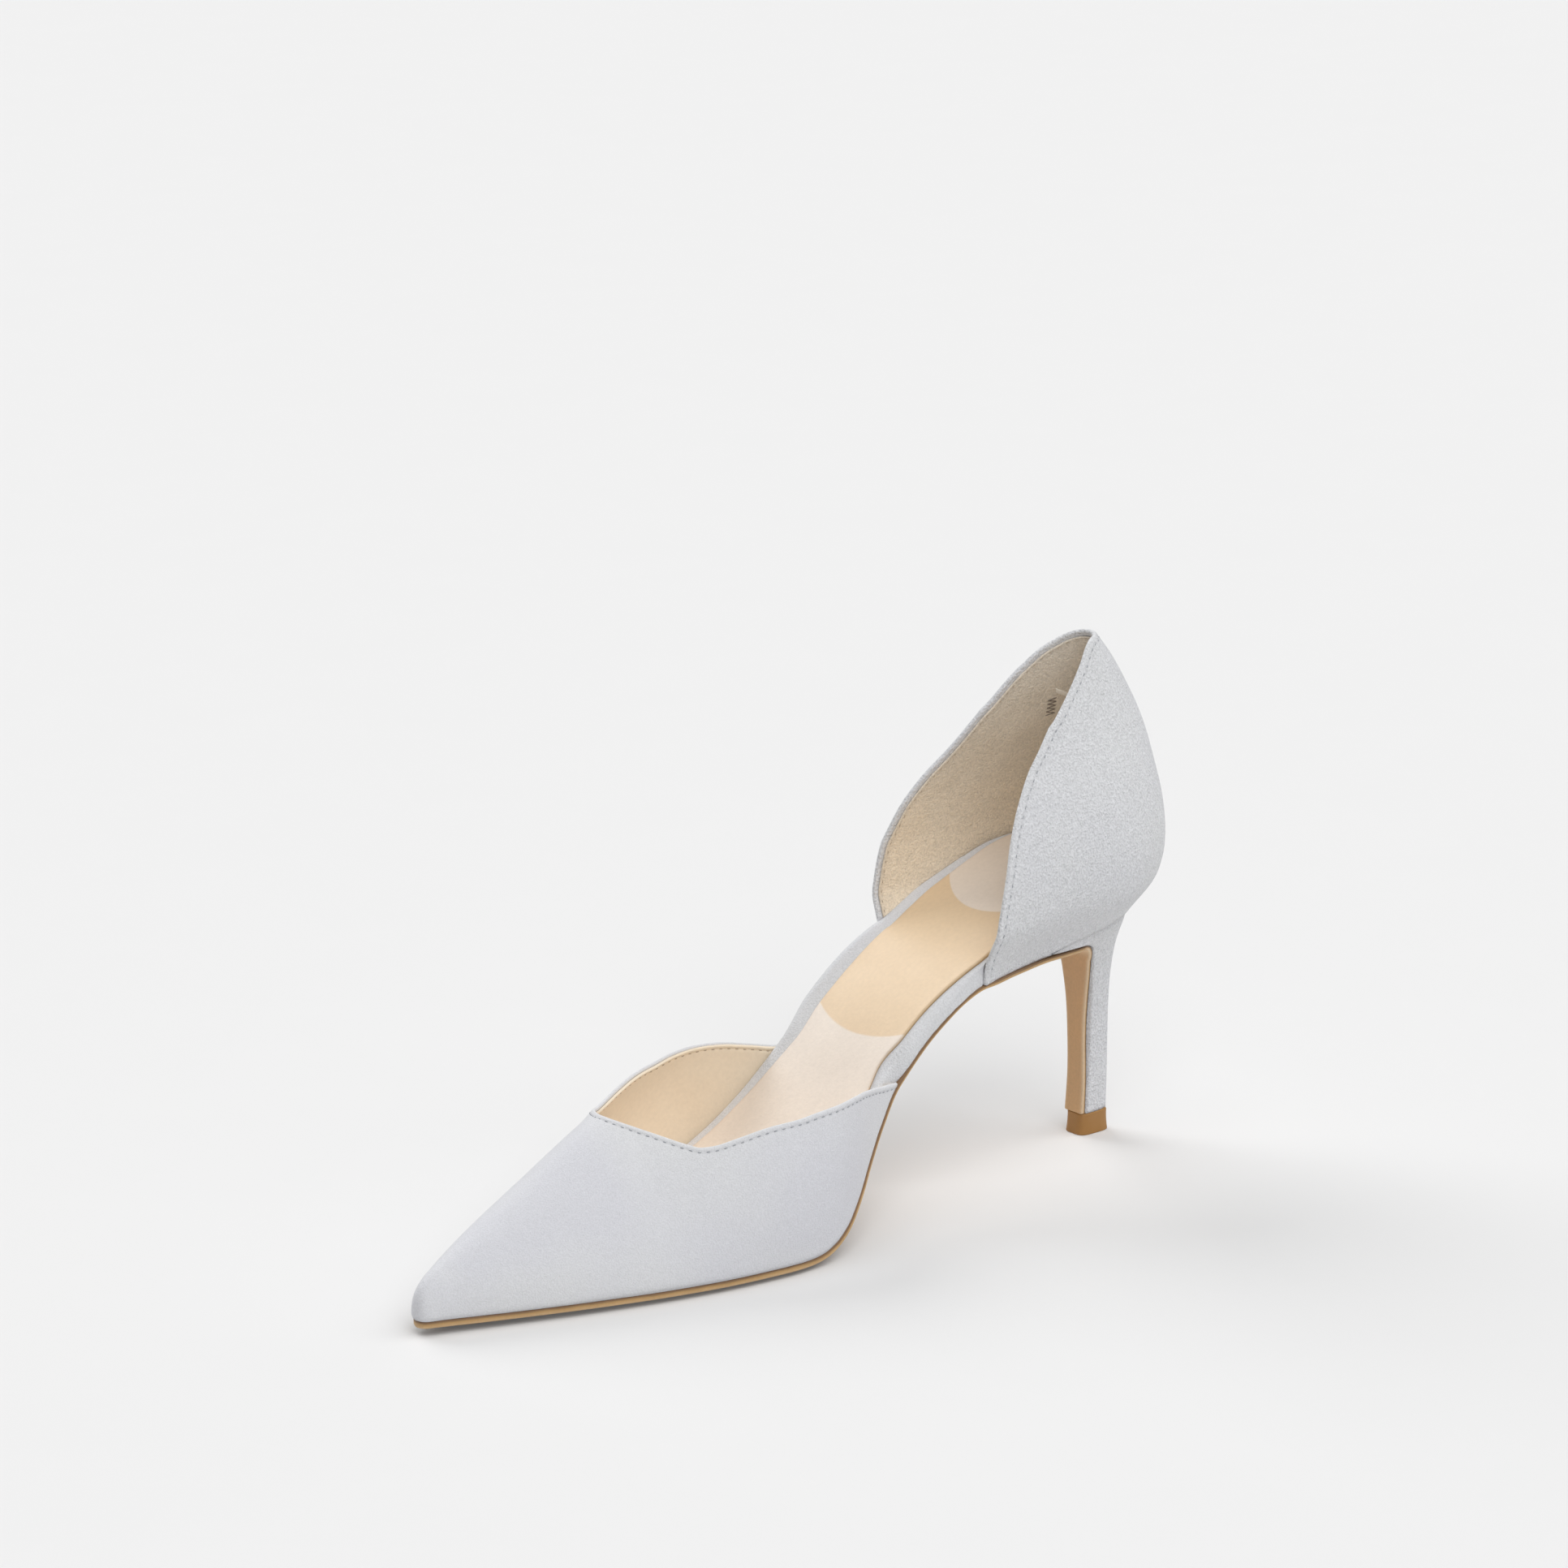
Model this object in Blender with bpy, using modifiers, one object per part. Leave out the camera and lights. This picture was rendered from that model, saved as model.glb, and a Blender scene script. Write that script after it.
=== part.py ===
# High heel: a pointed two-piece pump on a slim covered heel, with the waist open on both sides.
# All sizes below are millimetres. x runs from the back of the heel to the toe, y to the wearer's
# left and z up from a level STAND above the floor. Each table has one row per section and its
# columns are named.

import bmesh
import bpy
import math
import numpy as np

MM = 0.001
ORIGIN_X = 120.5            # middle of the shoe's box along x
ORIGIN_Y = 1.06             # middle of the shoe's box along y
STAND = 0.8                 # height of z = 0 above the floor
GAP = 0.3                   # clearance where two pieces meet

TOE_SWING = 7.5             # sideways shift of the toe tip from the heel's own axis
SWING_START = 110.0         # where the forepart begins to turn
SWING_POWER = 1.6

SOLE_THICK = 3.0            # under the ball and toe
WAIST_THICK = 2.1
SOLE_BEVEL = 0.7
FLAP_THICK = 1.3            # the sole where it covers the heel breast
TURN_RADIUS = 2.4           # bend from the waist down the breast
UPPER_WALL = 1.6            # vamp
COUNTER_WALL = 1.9          # quarter
OVERHANG = 0.4              # vamp past the sole's edge
SOCK_THICK = 0.9
SOCK_INSET = 3.6
LIFT_TOP = 4.95

# Outsole: upper face and half widths about the toe axis
SOLE_COLUMNS = ("x", "top", "near", "far")
SOLE = (
    (28.0, 52.5, 7.6, 7.6),
    (38.0, 53.2, 11.2, 11.2),
    (46.0, 53.6, 13.6, 13.6),
    (54.0, 53.9, 16.2, 16.2),
    (62.0, 54.1, 18.6, 18.8),
    (72.0, 54.0, 20.9, 22.2),
    (79.0, 51.6, 20.2, 22.9),
    (85.0, 47.6, 19.4, 23.2),
    (92.0, 41.8, 18.7, 23.3),
    (100.0, 34.0, 18.6, 23.6),
    (108.0, 25.6, 21.2, 24.8),
    (115.0, 18.6, 24.9, 26.6),
    (122.0, 12.2, 29.2, 29.0),
    (130.0, 6.4, 33.2, 31.8),
    (138.0, 2.9, 34.8, 33.8),
    (145.0, 2.2, 34.9, 34.6),
    (155.0, 2.2, 33.8, 34.0),
    (165.0, 2.2, 31.9, 32.3),
    (180.0, 2.3, 27.7, 27.8),
    (200.0, 2.5, 20.3, 20.6),
    (220.0, 2.7, 11.5, 11.9),
    (232.0, 2.9, 5.9, 6.3),
    (237.0, 3.0, 3.5, 3.7),
    (239.3, 3.0, 1.8, 1.8),
    (240.0, 3.0, 0.5, 0.5),
)

# Insole: upper face under the sock
INSOLE_COLUMNS = ("x", "top")
INSOLE = (
    (10.0, 78.2),
    (20.0, 76.7),
    (30.0, 75.1),
    (38.0, 73.5),
    (46.0, 71.0),
    (54.0, 67.9),
    (62.0, 64.6),
    (70.0, 60.8),
    (78.0, 57.0),
    (86.0, 52.2),
    (94.0, 46.2),
    (102.0, 39.2),
    (110.0, 31.4),
    (118.0, 23.4),
    (126.0, 16.2),
    (134.0, 10.8),
    (142.0, 7.8),
    (150.0, 6.8),
    (165.0, 6.4),
    (230.0, 6.6),
)
INSOLE_TOE = 226.0

# Vamp: crest height over the sole and fullness of the section
VAMP_COLUMNS = ("x", "crest", "power")
VAMP = (
    (100.0, 64.0, 4.0),
    (113.0, 60.0, 3.7),
    (130.0, 55.0, 3.0),
    (149.0, 49.0, 2.3),
    (163.5, 44.0, 1.85),
    (172.0, 40.6, 1.65),
    (180.0, 37.1, 1.55),
    (200.0, 27.4, 1.66),
    (220.0, 18.0, 1.9),
    (232.0, 12.3, 2.1),
    (237.0, 9.6, 2.2),
    (239.2, 8.0, 2.2),
    (240.4, 6.6, 2.2),
)
THROAT_X = 180.0
WING_X = 101.0
TIP_X = 240.4

# Vamp top line: height over the sole from the throat back to the wing's end
TOPLINE_COLUMNS = ("x", "height")
TOPLINE = (
    (101.0, 1.0),
    (106.0, 7.0),
    (113.0, 15.7),
    (121.0, 24.6),
    (130.0, 31.5),
    (139.0, 34.3),
    (149.2, 33.7),
    (157.0, 32.1),
    (163.5, 31.3),
    (172.0, 33.6),
    (180.0, 37.1),
)

# Quarter: back of the wall, half width at the wing start, and how the wings widen forward
QUARTER_COLUMNS = ("z", "back", "half", "splay")
QUARTER = (
    (53.0, 13.2, 12.6, 0.34),
    (57.0, 11.6, 14.2, 0.29),
    (60.0, 10.0, 16.2, 0.25),
    (63.0, 7.6, 18.9, 0.20),
    (67.0, 3.9, 21.5, 0.17),
    (72.0, 1.6, 23.0, 0.12),
    (79.0, 0.6, 23.5, 0.08),
    (88.0, 1.1, 22.3, 0.04),
    (97.5, 2.8, 19.6, 0.03),
    (107.0, 5.0, 16.0, 0.03),
    (117.0, 9.3, 12.8, 0.02),
    (127.0, 15.3, 10.2, 0.02),
    (134.0, 20.8, 8.6, 0.02),
)
WING_START = 45.0           # where the round of the heel ends
WING_RUN = 56.0             # length of wall ahead of it for one step of place
ROUND_POWER = 2.3

# Quarter rim: place around the wall (0 back, 1 wing start, 2 wing start plus run) and height
RIM_COLUMNS = ("place", "z")
RIM = (
    (0.0, 132.8),
    (0.25, 132.2),
    (0.5, 130.4),
    (0.75, 126.2),
    (0.9, 119.6),
    (1.03, 111.4),
    (1.15, 103.9),
    (1.27, 96.9),
    (1.36, 89.9),
    (1.435, 80.7),
)
FRONT_FOOT = 1.505          # place of the front edge at the bottom
FRONT_BOW = 1.5             # bend of the front edge

# Quarter's lower edge
EDGE_COLUMNS = ("x", "z")
EDGE = (
    (8.0, 59.7),
    (17.0, 59.1),
    (24.0, 58.4),
    (30.0, 57.5),
    (38.0, 56.2),
    (42.0, 55.5),
    (46.0, 54.8),
    (54.0, 54.3),
    (62.0, 54.5),
    (76.0, 54.4),
)

# Heel block: sections from the lift up to the seat
HEEL_COLUMNS = ("z_front", "z_back", "front", "back", "half", "power")
HEEL = (
    (LIFT_TOP + GAP, LIFT_TOP + GAP, 25.1, 16.65, 3.5, 3.2),
    (15.0, 15.0, 24.3, 16.2, 3.4, 3.2),
    (25.0, 25.0, 24.0, 16.0, 3.6, 3.2),
    (34.0, 34.0, 23.9, 15.9, 4.1, 3.2),
    (41.0, 41.0, 24.1, 15.6, 4.9, 3.1),
    (46.0, 46.2, 24.5, 14.9, 5.7, 3.0),
    (49.4, 50.4, 24.9, 13.9, 6.7, 2.8),
    (51.8, 54.0, 25.3, 12.6, 8.1, 2.6),
    (53.1, 56.2, 28.0, 11.7, 9.8, 2.4),
    (53.6, 57.4, 34.0, 11.2, 11.4, 2.3),
    (53.9, 58.2, 41.0, 10.7, 12.4, 2.3),
    (54.4, 59.1, 45.0, 10.3, 13.3, 2.3),
)

# Top lift: lower and upper outline
LIFT_COLUMNS = ("z", "front", "back", "half")
LIFT = (
    (-STAND, 27.0, 17.0, 3.9),
    (LIFT_TOP, 26.5, 17.1, 3.6),
)
LIFT_POWER = 4.0
SEAT_BOW = 1.6              # curve of the seat line from back to front

COLOURS = {
    "suede": (0.73, 0.737, 0.755, 1.0),
    "lining": (0.76, 0.66, 0.52, 1.0),
    "tan": (0.44, 0.28, 0.14, 1.0),
    "sock": (0.83, 0.62, 0.34, 1.0),
    "lift": (0.36, 0.21, 0.07, 1.0),
}


def column(table, names, name):
    # One named column of a table
    return np.array([row[names.index(name)] for row in table], float)


def smooth(x, xs, ys):
    # Curve through the rows: parabola slopes at each row, flat where the rows turn back
    x = np.clip(np.asarray(x, float), xs[0], xs[-1])
    h = np.diff(xs)
    d = np.diff(ys) / h
    m = np.empty(len(xs))
    m[1:-1] = (h[1:] * d[:-1] + h[:-1] * d[1:]) / (h[:-1] + h[1:])
    m[0] = d[0]
    m[-1] = d[-1]
    turn = d[:-1] * d[1:] <= 0
    limit = 3.0 * np.minimum(np.abs(d[:-1]), np.abs(d[1:]))
    m[1:-1] = np.where(turn, 0.0, np.clip(m[1:-1], -limit, limit))
    i = np.clip(np.searchsorted(xs, x, side="right") - 1, 0, len(h) - 1)
    t = (x - xs[i]) / h[i]
    a = (1 + 2 * t) * (1 - t) ** 2
    b = t * (1 - t) ** 2
    c = t * t * (3 - 2 * t)
    e = t * t * (t - 1)
    return a * ys[i] + b * h[i] * m[i] + c * ys[i + 1] + e * h[i] * m[i + 1]


def lookup(table, names, key, name, x):
    # Smooth value of one column of a table at x
    return smooth(x, column(table, names, key), column(table, names, name))


def swing(x):
    # Sideways place of the toe axis
    run = np.clip((np.asarray(x, float) - SWING_START) / (TIP_X - SWING_START), 0.0, None)
    return TOE_SWING * run ** SWING_POWER


def sole_top(x):
    return lookup(SOLE, SOLE_COLUMNS, "x", "top", x)


def sole_half(x, side):
    return lookup(SOLE, SOLE_COLUMNS, "x", "near" if side > 0 else "far", x)


def insole_top(x):
    return lookup(INSOLE, INSOLE_COLUMNS, "x", "top", x)


def wall(place, z, inset):
    # Point of the quarter's wall at a place around it and a height, moved inward by inset
    place = np.asarray(place, float)
    back = lookup(QUARTER, QUARTER_COLUMNS, "z", "back", z) + inset
    half = lookup(QUARTER, QUARTER_COLUMNS, "z", "half", z) - inset
    splay = lookup(QUARTER, QUARTER_COLUMNS, "z", "splay", z)
    angle = np.clip(place, 0.0, 1.0) * math.pi / 2
    e = 2.0 / ROUND_POWER
    ahead = np.clip(place - 1.0, 0.0, None) * WING_RUN
    cosine = np.clip(np.cos(angle), 0.0, 1.0) ** e
    x = np.where(place <= 1.0, WING_START - (WING_START - back) * cosine, WING_START + ahead)
    y = half * np.sin(angle) ** e + splay * ahead ** 2 / (ahead + 4.0)
    return x, y


def edge_z(place):
    # Height of the quarter's lower edge at a place around the wall
    z = np.full(np.shape(place), 57.0)
    for step in range(6):
        x, y = wall(place, z, 0.0)
        z = lookup(EDGE, EDGE_COLUMNS, "x", "z", x)
    return z


def new_object(name, verts, faces, colour, roughness, home):
    # Mesh object from points in millimetres, with its own material
    mesh = bpy.data.meshes.new(name)
    shift = np.array([ORIGIN_X, ORIGIN_Y, -STAND])
    points = (np.asarray(verts, float) - shift) * MM
    mesh.from_pydata([tuple(p) for p in points], [], faces)
    obj = bpy.data.objects.new(name, mesh)
    home.objects.link(obj)
    material = bpy.data.materials.new(name)
    material.use_nodes = True
    shader = material.node_tree.nodes["Principled BSDF"]
    shader.inputs["Base Color"].default_value = COLOURS[colour]
    shader.inputs["Roughness"].default_value = roughness
    shader.inputs["Metallic"].default_value = 0.0
    mesh.materials.append(material)
    work = bmesh.new()
    work.from_mesh(mesh)
    bmesh.ops.remove_doubles(work, verts=work.verts, dist=0.00002)
    bmesh.ops.dissolve_degenerate(work, edges=work.edges, dist=0.00001)
    bmesh.ops.recalc_face_normals(work, faces=work.faces)
    work.to_mesh(mesh)
    work.free()
    for polygon in mesh.polygons:
        polygon.use_smooth = True
    return obj


def grid_faces(rows, cols, start, flip):
    # Quads of a grid of points stored row by row
    faces = []
    for i in range(rows - 1):
        for j in range(cols - 1):
            a = start + i * cols + j
            quad = [a, a + 1, a + cols + 1, a + cols]
            faces.append(quad[::-1] if flip else quad)
    return faces


def loft(sections, close_ends):
    # Skin over closed loops that have equal counts of points
    verts = []
    faces = []
    n = len(sections[0])
    for section in sections:
        verts.extend(section)
    for k in range(len(sections) - 1):
        for j in range(n):
            a = k * n + j
            b = k * n + (j + 1) % n
            faces.append([a, b, b + n, a + n])
    if close_ends:
        faces.append(list(range(n))[::-1])
        faces.append([(len(sections) - 1) * n + j for j in range(n)])
    return verts, faces


def shell(obj, thickness):
    # Wall of even thickness grown inward from the outer face
    solid = obj.modifiers.new("wall", "SOLIDIFY")
    solid.thickness = thickness * MM
    solid.offset = -1.0
    solid.use_even_offset = True
    solid.use_rim = True


def build_outsole(home):
    # Stations from the toe through the waist, round the bend and down the breast
    ahead = np.concatenate([
        240.0 - 8.0 * np.linspace(0.0, 1.0, 7) ** 2,
        np.linspace(226.0, 170.0, 9),
        np.linspace(163.0, 72.0, 27),
        np.linspace(67.0, 28.0, 9),
    ])
    top = sole_top(ahead)
    near = sole_half(ahead, 1)
    far = sole_half(ahead, -1)
    slope = np.gradient(top, ahead)
    lean = np.arctan(slope)
    sections = []

    def section(x, z, angle, yn, yf, axis, thick):
        # Flat strip whose lower corners are bevelled; angle is the strip's slope
        down = np.array([math.sin(angle), -math.cos(angle)])
        bevel = min(SOLE_BEVEL, 0.35 * (yn + yf))
        loop = []
        for y, drop in ((yn, 0.0), (yn, 0.55), (yn - bevel, 1.0), (bevel - yf, 1.0), (-yf, 0.55), (-yf, 0.0)):
            px = x + down[0] * thick * drop
            pz = z + down[1] * thick * drop
            loop.append((px, axis + y, pz))
        return loop

    waist = np.clip((ahead - 56.0) / 56.0, 0.0, 1.0)
    ball = np.clip((ahead - 112.0) / 28.0, 0.0, 1.0)
    thick = FLAP_THICK + (WAIST_THICK - FLAP_THICK) * waist + (SOLE_THICK - WAIST_THICK) * ball
    for k in range(len(ahead)):
        sections.append(section(ahead[k], top[k], lean[k], near[k], far[k], float(swing(ahead[k])), thick[k]))
    heel_z = column(HEEL, HEEL_COLUMNS, "z_front")
    heel_front = column(HEEL, HEEL_COLUMNS, "front")
    heel_half = column(HEEL, HEEL_COLUMNS, "half")
    cx = 28.0
    cz = 52.5 - TURN_RADIUS
    for turn in np.radians((22.5, 45.0, 67.5, 90.0)):
        x = cx - TURN_RADIUS * math.sin(turn)
        z = cz + TURN_RADIUS * math.cos(turn)
        half = 7.6 - 1.1 * turn / (math.pi / 2)
        sections.append(section(x, z, turn, half, half, 0.0, FLAP_THICK))
    for z in (46.0, 42.0, 38.0, 33.0, 27.0, 20.0, 13.0, LIFT_TOP + GAP):
        x = float(smooth(z, heel_z, heel_front)) + GAP
        half = float(smooth(z, heel_z, heel_half)) + 0.15
        sections.append(section(x, z, math.pi / 2, half, half, 0.0, FLAP_THICK))
    verts, faces = loft(sections, True)
    return new_object("outsole", verts, faces, "tan", 0.55, home)


def insole_loop(f, inset):
    # Outline of the insole at a level f from its underside (0) to its top (1)
    xs = np.concatenate([
        INSOLE_TOE - 6.0 * np.linspace(0.0, 1.0, 4) ** 2,
        np.linspace(212.0, 160.0, 8),
        np.linspace(152.0, 80.0, 19),
        np.array([77.5, 75.4, 73.6, 70.0, 66.0, 61.0, 56.0, 51.0, 47.0]),
    ])
    roll = 1.5 * abs(2.0 * f - 1.0) ** 2.5
    sides = []
    for side in (1, -1):
        half = sole_half(xs, side)
        inside = np.clip((xs - 90.0) / 14.0, 0.0, 1.0)
        inside = inside * inside * (3 - 2 * inside)
        body = half + 0.2 - inside * (UPPER_WALL + GAP + 0.5) - roll
        toe = np.clip((INSOLE_TOE - xs) / 14.0, 0.0, 1.0)
        body = np.maximum(body * np.sqrt(toe * (2 - toe)), 0.3)
        low = np.maximum(sole_top(xs) + GAP, lookup(EDGE, EDGE_COLUMNS, "x", "z", xs) * (xs < 74))
        z = low + f * (insole_top(xs) - low)
        place = 1.0 + (xs - WING_START) / WING_RUN
        px, py = wall(place, np.clip(z, 53.0, 134.0), COUNTER_WALL + GAP + 0.8)
        body = np.where(xs < 74.0, py, body)
        y = body - inset
        y = np.maximum(y, 0.3)
        points = [(xs[k], float(swing(xs[k])) + side * y[k], z[k]) for k in range(len(xs))]
        places = np.linspace(1.0, 0.0, 14)
        if side < 0:
            places = places[:-1]
        z = edge_z(places)
        for step in range(4):
            px, py = wall(places, z, COUNTER_WALL + GAP + 0.8 + inset)
            low = lookup(EDGE, EDGE_COLUMNS, "x", "z", px)
            z = low + f * (insole_top(px) - low)
        points += [(px[k], side * py[k], z[k]) for k in range(len(places))]
        sides.append(points)
    return sides[0], sides[1]


def slab(levels):
    # Solid between stacked outlines, each a near side and a far side from toe to heel back
    n = len(levels[0][0])
    m = len(levels[0][1])
    ring = n + m
    verts = []
    faces = []
    for near, far in levels:
        verts += near + far[::-1]
    for k in range(len(levels) - 1):
        for j in range(ring):
            a = k * ring + j
            b = k * ring + (j + 1) % ring
            faces.append([a, b, b + ring, a + ring])
    for k, flip in ((0, True), (len(levels) - 1, False)):
        base = k * ring
        for j in range(n - 1):
            a = base + j
            b = base + j + 1
            d = base + ring - 1 - j
            c = base + ring - 2 - j
            quad = [a, b, c, d] if j < n - 2 else [a, b, d]
            faces.append(quad[::-1] if flip else quad)
    return verts, faces


def build_insole(home):
    levels = [insole_loop(f, 0.0) for f in (0.0, 0.2, 0.5, 0.8, 1.0)]
    verts, faces = slab(levels)
    return new_object("insole", verts, faces, "suede", 0.9, home)


def build_sock(home):
    # Thin cover on the insole, set in from its edge
    near, far = insole_loop(1.0, SOCK_INSET - 1.5)
    levels = []
    for rise in (GAP, GAP + SOCK_THICK):
        levels.append((
            [(x, y, z + rise) for x, y, z in near],
            [(x, y, z + rise) for x, y, z in far],
        ))
    verts, faces = slab(levels)
    return new_object("sock_lining", verts, faces, "sock", 0.6, home)


def build_vamp(home):
    # Arched sections from the wings to the toe, cut along the top line
    rows = np.concatenate([
        np.linspace(WING_X, 160.0, 20),
        np.linspace(162.5, THROAT_X, 9),
        np.linspace(185.0, 230.0, 11),
        TIP_X - 9.0 * (1.0 - np.linspace(0.1, 1.0, 8)) ** 2,
    ])
    cols = 15
    crest = lookup(VAMP, VAMP_COLUMNS, "x", "crest", rows)
    power = lookup(VAMP, VAMP_COLUMNS, "x", "power", rows)
    height = lookup(TOPLINE, TOPLINE_COLUMNS, "x", "height", rows)
    share = np.clip(height / crest, 0.0, 1.0)
    limit = np.where(rows < THROAT_X - 0.01, np.arcsin(share ** (power / 2)), math.pi / 2)
    verts = []
    faces = []
    for side in (1, -1):
        half = sole_half(np.minimum(rows, 240.0), side) + OVERHANG
        half[-1] = 0.0
        start = len(verts)
        for i in range(len(rows)):
            angle = limit[i] * np.linspace(0.0, 1.0, cols)
            e = 2.0 / power[i]
            y = half[i] * np.clip(np.cos(angle), 0.0, 1.0) ** e
            z = crest[i] * np.sin(angle) ** e
            base = float(sole_top(min(rows[i], 240.0))) + GAP
            for j in range(cols):
                verts.append((rows[i], float(swing(rows[i])) + side * y[j], base + z[j]))
        faces += grid_faces(len(rows), cols, start, side < 0)
    obj = new_object("vamp", verts, faces, "suede", 0.9, home)
    shell(obj, UPPER_WALL)
    return obj


def build_quarter(home):
    # Wall around the heel: columns fan from the lower edge to the rim
    count = 26
    rows = 15
    reach = RIM[-1][0]
    share = np.linspace(0.0, 1.0, count)
    top_place = reach * share
    foot_place = FRONT_FOOT * share
    top_z = lookup(RIM, RIM_COLUMNS, "place", "z", top_place)
    foot_z = edge_z(foot_place)
    verts = []
    faces = []
    for side in (1, -1):
        start = len(verts)
        for k in range(count):
            f = np.linspace(0.0, 1.0, rows)
            z = foot_z[k] + f * (top_z[k] - foot_z[k])
            place = foot_place[k] + (top_place[k] - foot_place[k]) * f ** FRONT_BOW
            x, y = wall(place, z, 0.0)
            for j in range(rows):
                verts.append((x[j], side * y[j], z[j]))
        faces += grid_faces(count, rows, start, side > 0)
    obj = new_object("quarter", verts, faces, "suede", 0.9, home)
    shell(obj, COUNTER_WALL)
    return obj


def build_heel(home):
    # Flat breast and rounded back, flaring to the seat
    angle = np.linspace(0.0, math.pi / 2, 9)
    sections = []
    for row in HEEL:
        z_front, z_back, front, back, half, power = row
        e = 2.0 / power
        x = front - (front - back) * np.clip(np.cos(angle), 0.0, 1.0) ** e
        y = half * np.sin(angle) ** e
        along = np.clip((x - back) / (front - back), 0.0, 1.0)
        z = z_back + (z_front - z_back) * along ** SEAT_BOW
        near = [(x[k], y[k], z[k]) for k in range(len(angle))]
        far = [(x[k], -y[k], z[k]) for k in range(1, len(angle))]
        sections.append(near + far[::-1])
    verts, faces = loft(sections, True)
    return new_object("heel", verts, faces, "suede", 0.9, home)


def build_lift(home):
    # Rounded block, a little wider at the floor
    angle = np.linspace(0.0, 2 * math.pi, 33)[:-1]
    sections = []
    for z, front, back, half in LIFT:
        e = 2.0 / LIFT_POWER
        x = (front + back) / 2 + (front - back) / 2 * np.sign(np.cos(angle)) * np.abs(np.cos(angle)) ** e
        y = half * np.sign(np.sin(angle)) * np.abs(np.sin(angle)) ** e
        sections.append([(x[k], y[k], z) for k in range(len(angle))])
    verts, faces = loft(sections, True)
    return new_object("top_lift", verts, faces, "lift", 0.45, home)


def main():
    for obj in list(bpy.data.objects):
        bpy.data.objects.remove(obj, do_unlink=True)
    home = bpy.data.collections.new("high_heel")
    bpy.context.scene.collection.children.link(home)
    build_outsole(home)
    build_insole(home)
    build_sock(home)
    build_vamp(home)
    build_quarter(home)
    build_heel(home)
    build_lift(home)


main()
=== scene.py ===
import math
import bpy
import numpy as np
from mathutils import Matrix


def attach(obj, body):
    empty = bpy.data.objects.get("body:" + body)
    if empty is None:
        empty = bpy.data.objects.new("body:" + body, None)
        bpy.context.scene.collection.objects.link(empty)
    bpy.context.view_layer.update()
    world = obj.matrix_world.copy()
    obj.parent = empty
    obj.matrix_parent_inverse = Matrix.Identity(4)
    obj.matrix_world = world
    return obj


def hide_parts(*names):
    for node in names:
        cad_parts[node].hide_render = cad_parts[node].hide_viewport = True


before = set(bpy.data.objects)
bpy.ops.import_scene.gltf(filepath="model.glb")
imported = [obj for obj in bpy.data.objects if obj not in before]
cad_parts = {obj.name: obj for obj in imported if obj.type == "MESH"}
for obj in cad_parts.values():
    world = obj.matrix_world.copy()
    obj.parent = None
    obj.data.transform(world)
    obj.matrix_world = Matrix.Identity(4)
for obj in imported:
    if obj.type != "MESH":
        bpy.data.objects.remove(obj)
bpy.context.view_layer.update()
print("frame loaded:", ", ".join(sorted(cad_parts)))

# Sizes are millimetres from the back of the heel and the shoe's axis, with heights from stand above
# the floor; addPiece turns them into the frame's metres


def columns(names, *rows):  # named columns from one row per section
    return dict(zip(names.split(), np.array(rows, float).T))


shoe = {
    "stand": 0.8, "middle": (120.5, 1.06, -0.8),  # the frame's origin is on the floor, stand below 0
    "toeSwing": 7.5, "swingStart": 110.0, "swingPower": 1.6,  # how the forepart turns to one side
    "tipX": 240.4, "roundX": 235.5, "soleEndX": 240.0, "tipPinch": 0.12,
    "clear": 0.3, "liningGap": 0.03,  # gaps from the upper to the sole and to its lining
}
soleLine = columns(
    "x top near far",
    (28.0, 52.5, 7.6, 7.6), (38.0, 53.2, 11.2, 11.2), (46.0, 53.6, 13.6, 13.6), (54.0, 53.9, 16.2, 16.2),
    (62.0, 54.1, 18.6, 18.8), (72.0, 54.0, 20.9, 22.2), (79.0, 51.6, 20.2, 22.9), (85.0, 47.6, 19.4, 23.2),
    (92.0, 41.8, 18.7, 23.3), (100.0, 34.0, 18.6, 23.6), (108.0, 25.6, 21.2, 24.8),
    (115.0, 18.6, 24.9, 26.6), (122.0, 12.2, 29.2, 29.0), (130.0, 6.4, 33.2, 31.8), (138.0, 2.9, 34.8, 33.8),
    (145.0, 2.2, 34.9, 34.6), (155.0, 2.2, 33.8, 34.0), (165.0, 2.2, 31.9, 32.3), (180.0, 2.3, 27.7, 27.8),
    (200.0, 2.5, 20.3, 20.6), (220.0, 2.7, 11.5, 11.9), (232.0, 2.9, 5.9, 6.3), (237.0, 3.0, 3.5, 3.7),
    (239.3, 3.0, 1.8, 1.8), (240.0, 3.0, 0.5, 0.5),
)
sideName = {1: "near", -1: "far"}
rightAngle = math.pi / 2


def curve(line, key, name, x):
    # cubic through the rows; a row's slope is that of the parabola through three rows, flat at a turn
    xs, ys = line[key], line[name]
    x = np.clip(np.asarray(x, float), xs[0], xs[-1])
    h = np.diff(xs)
    d = np.diff(ys) / h
    m = np.concatenate([d[:1], (h[1:] * d[:-1] + h[:-1] * d[1:]) / (h[:-1] + h[1:]), d[-1:]])
    limit = 3.0 * np.minimum(np.abs(d[:-1]), np.abs(d[1:]))
    m[1:-1] = np.where(d[:-1] * d[1:] <= 0, 0.0, np.clip(m[1:-1], -limit, limit))
    i = np.clip(np.searchsorted(xs, x, side="right") - 1, 0, len(h) - 1)
    t = (x - xs[i]) / h[i]
    low = (1 + 2 * t) * (1 - t) ** 2 * ys[i] + t * (1 - t) ** 2 * h[i] * m[i]
    return low + t * t * (3 - 2 * t) * ys[i + 1] + t * t * (t - 1) * h[i] * m[i + 1]


def unit(x):  # held between 0 and 1
    return np.clip(x, 0.0, 1.0)


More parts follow.
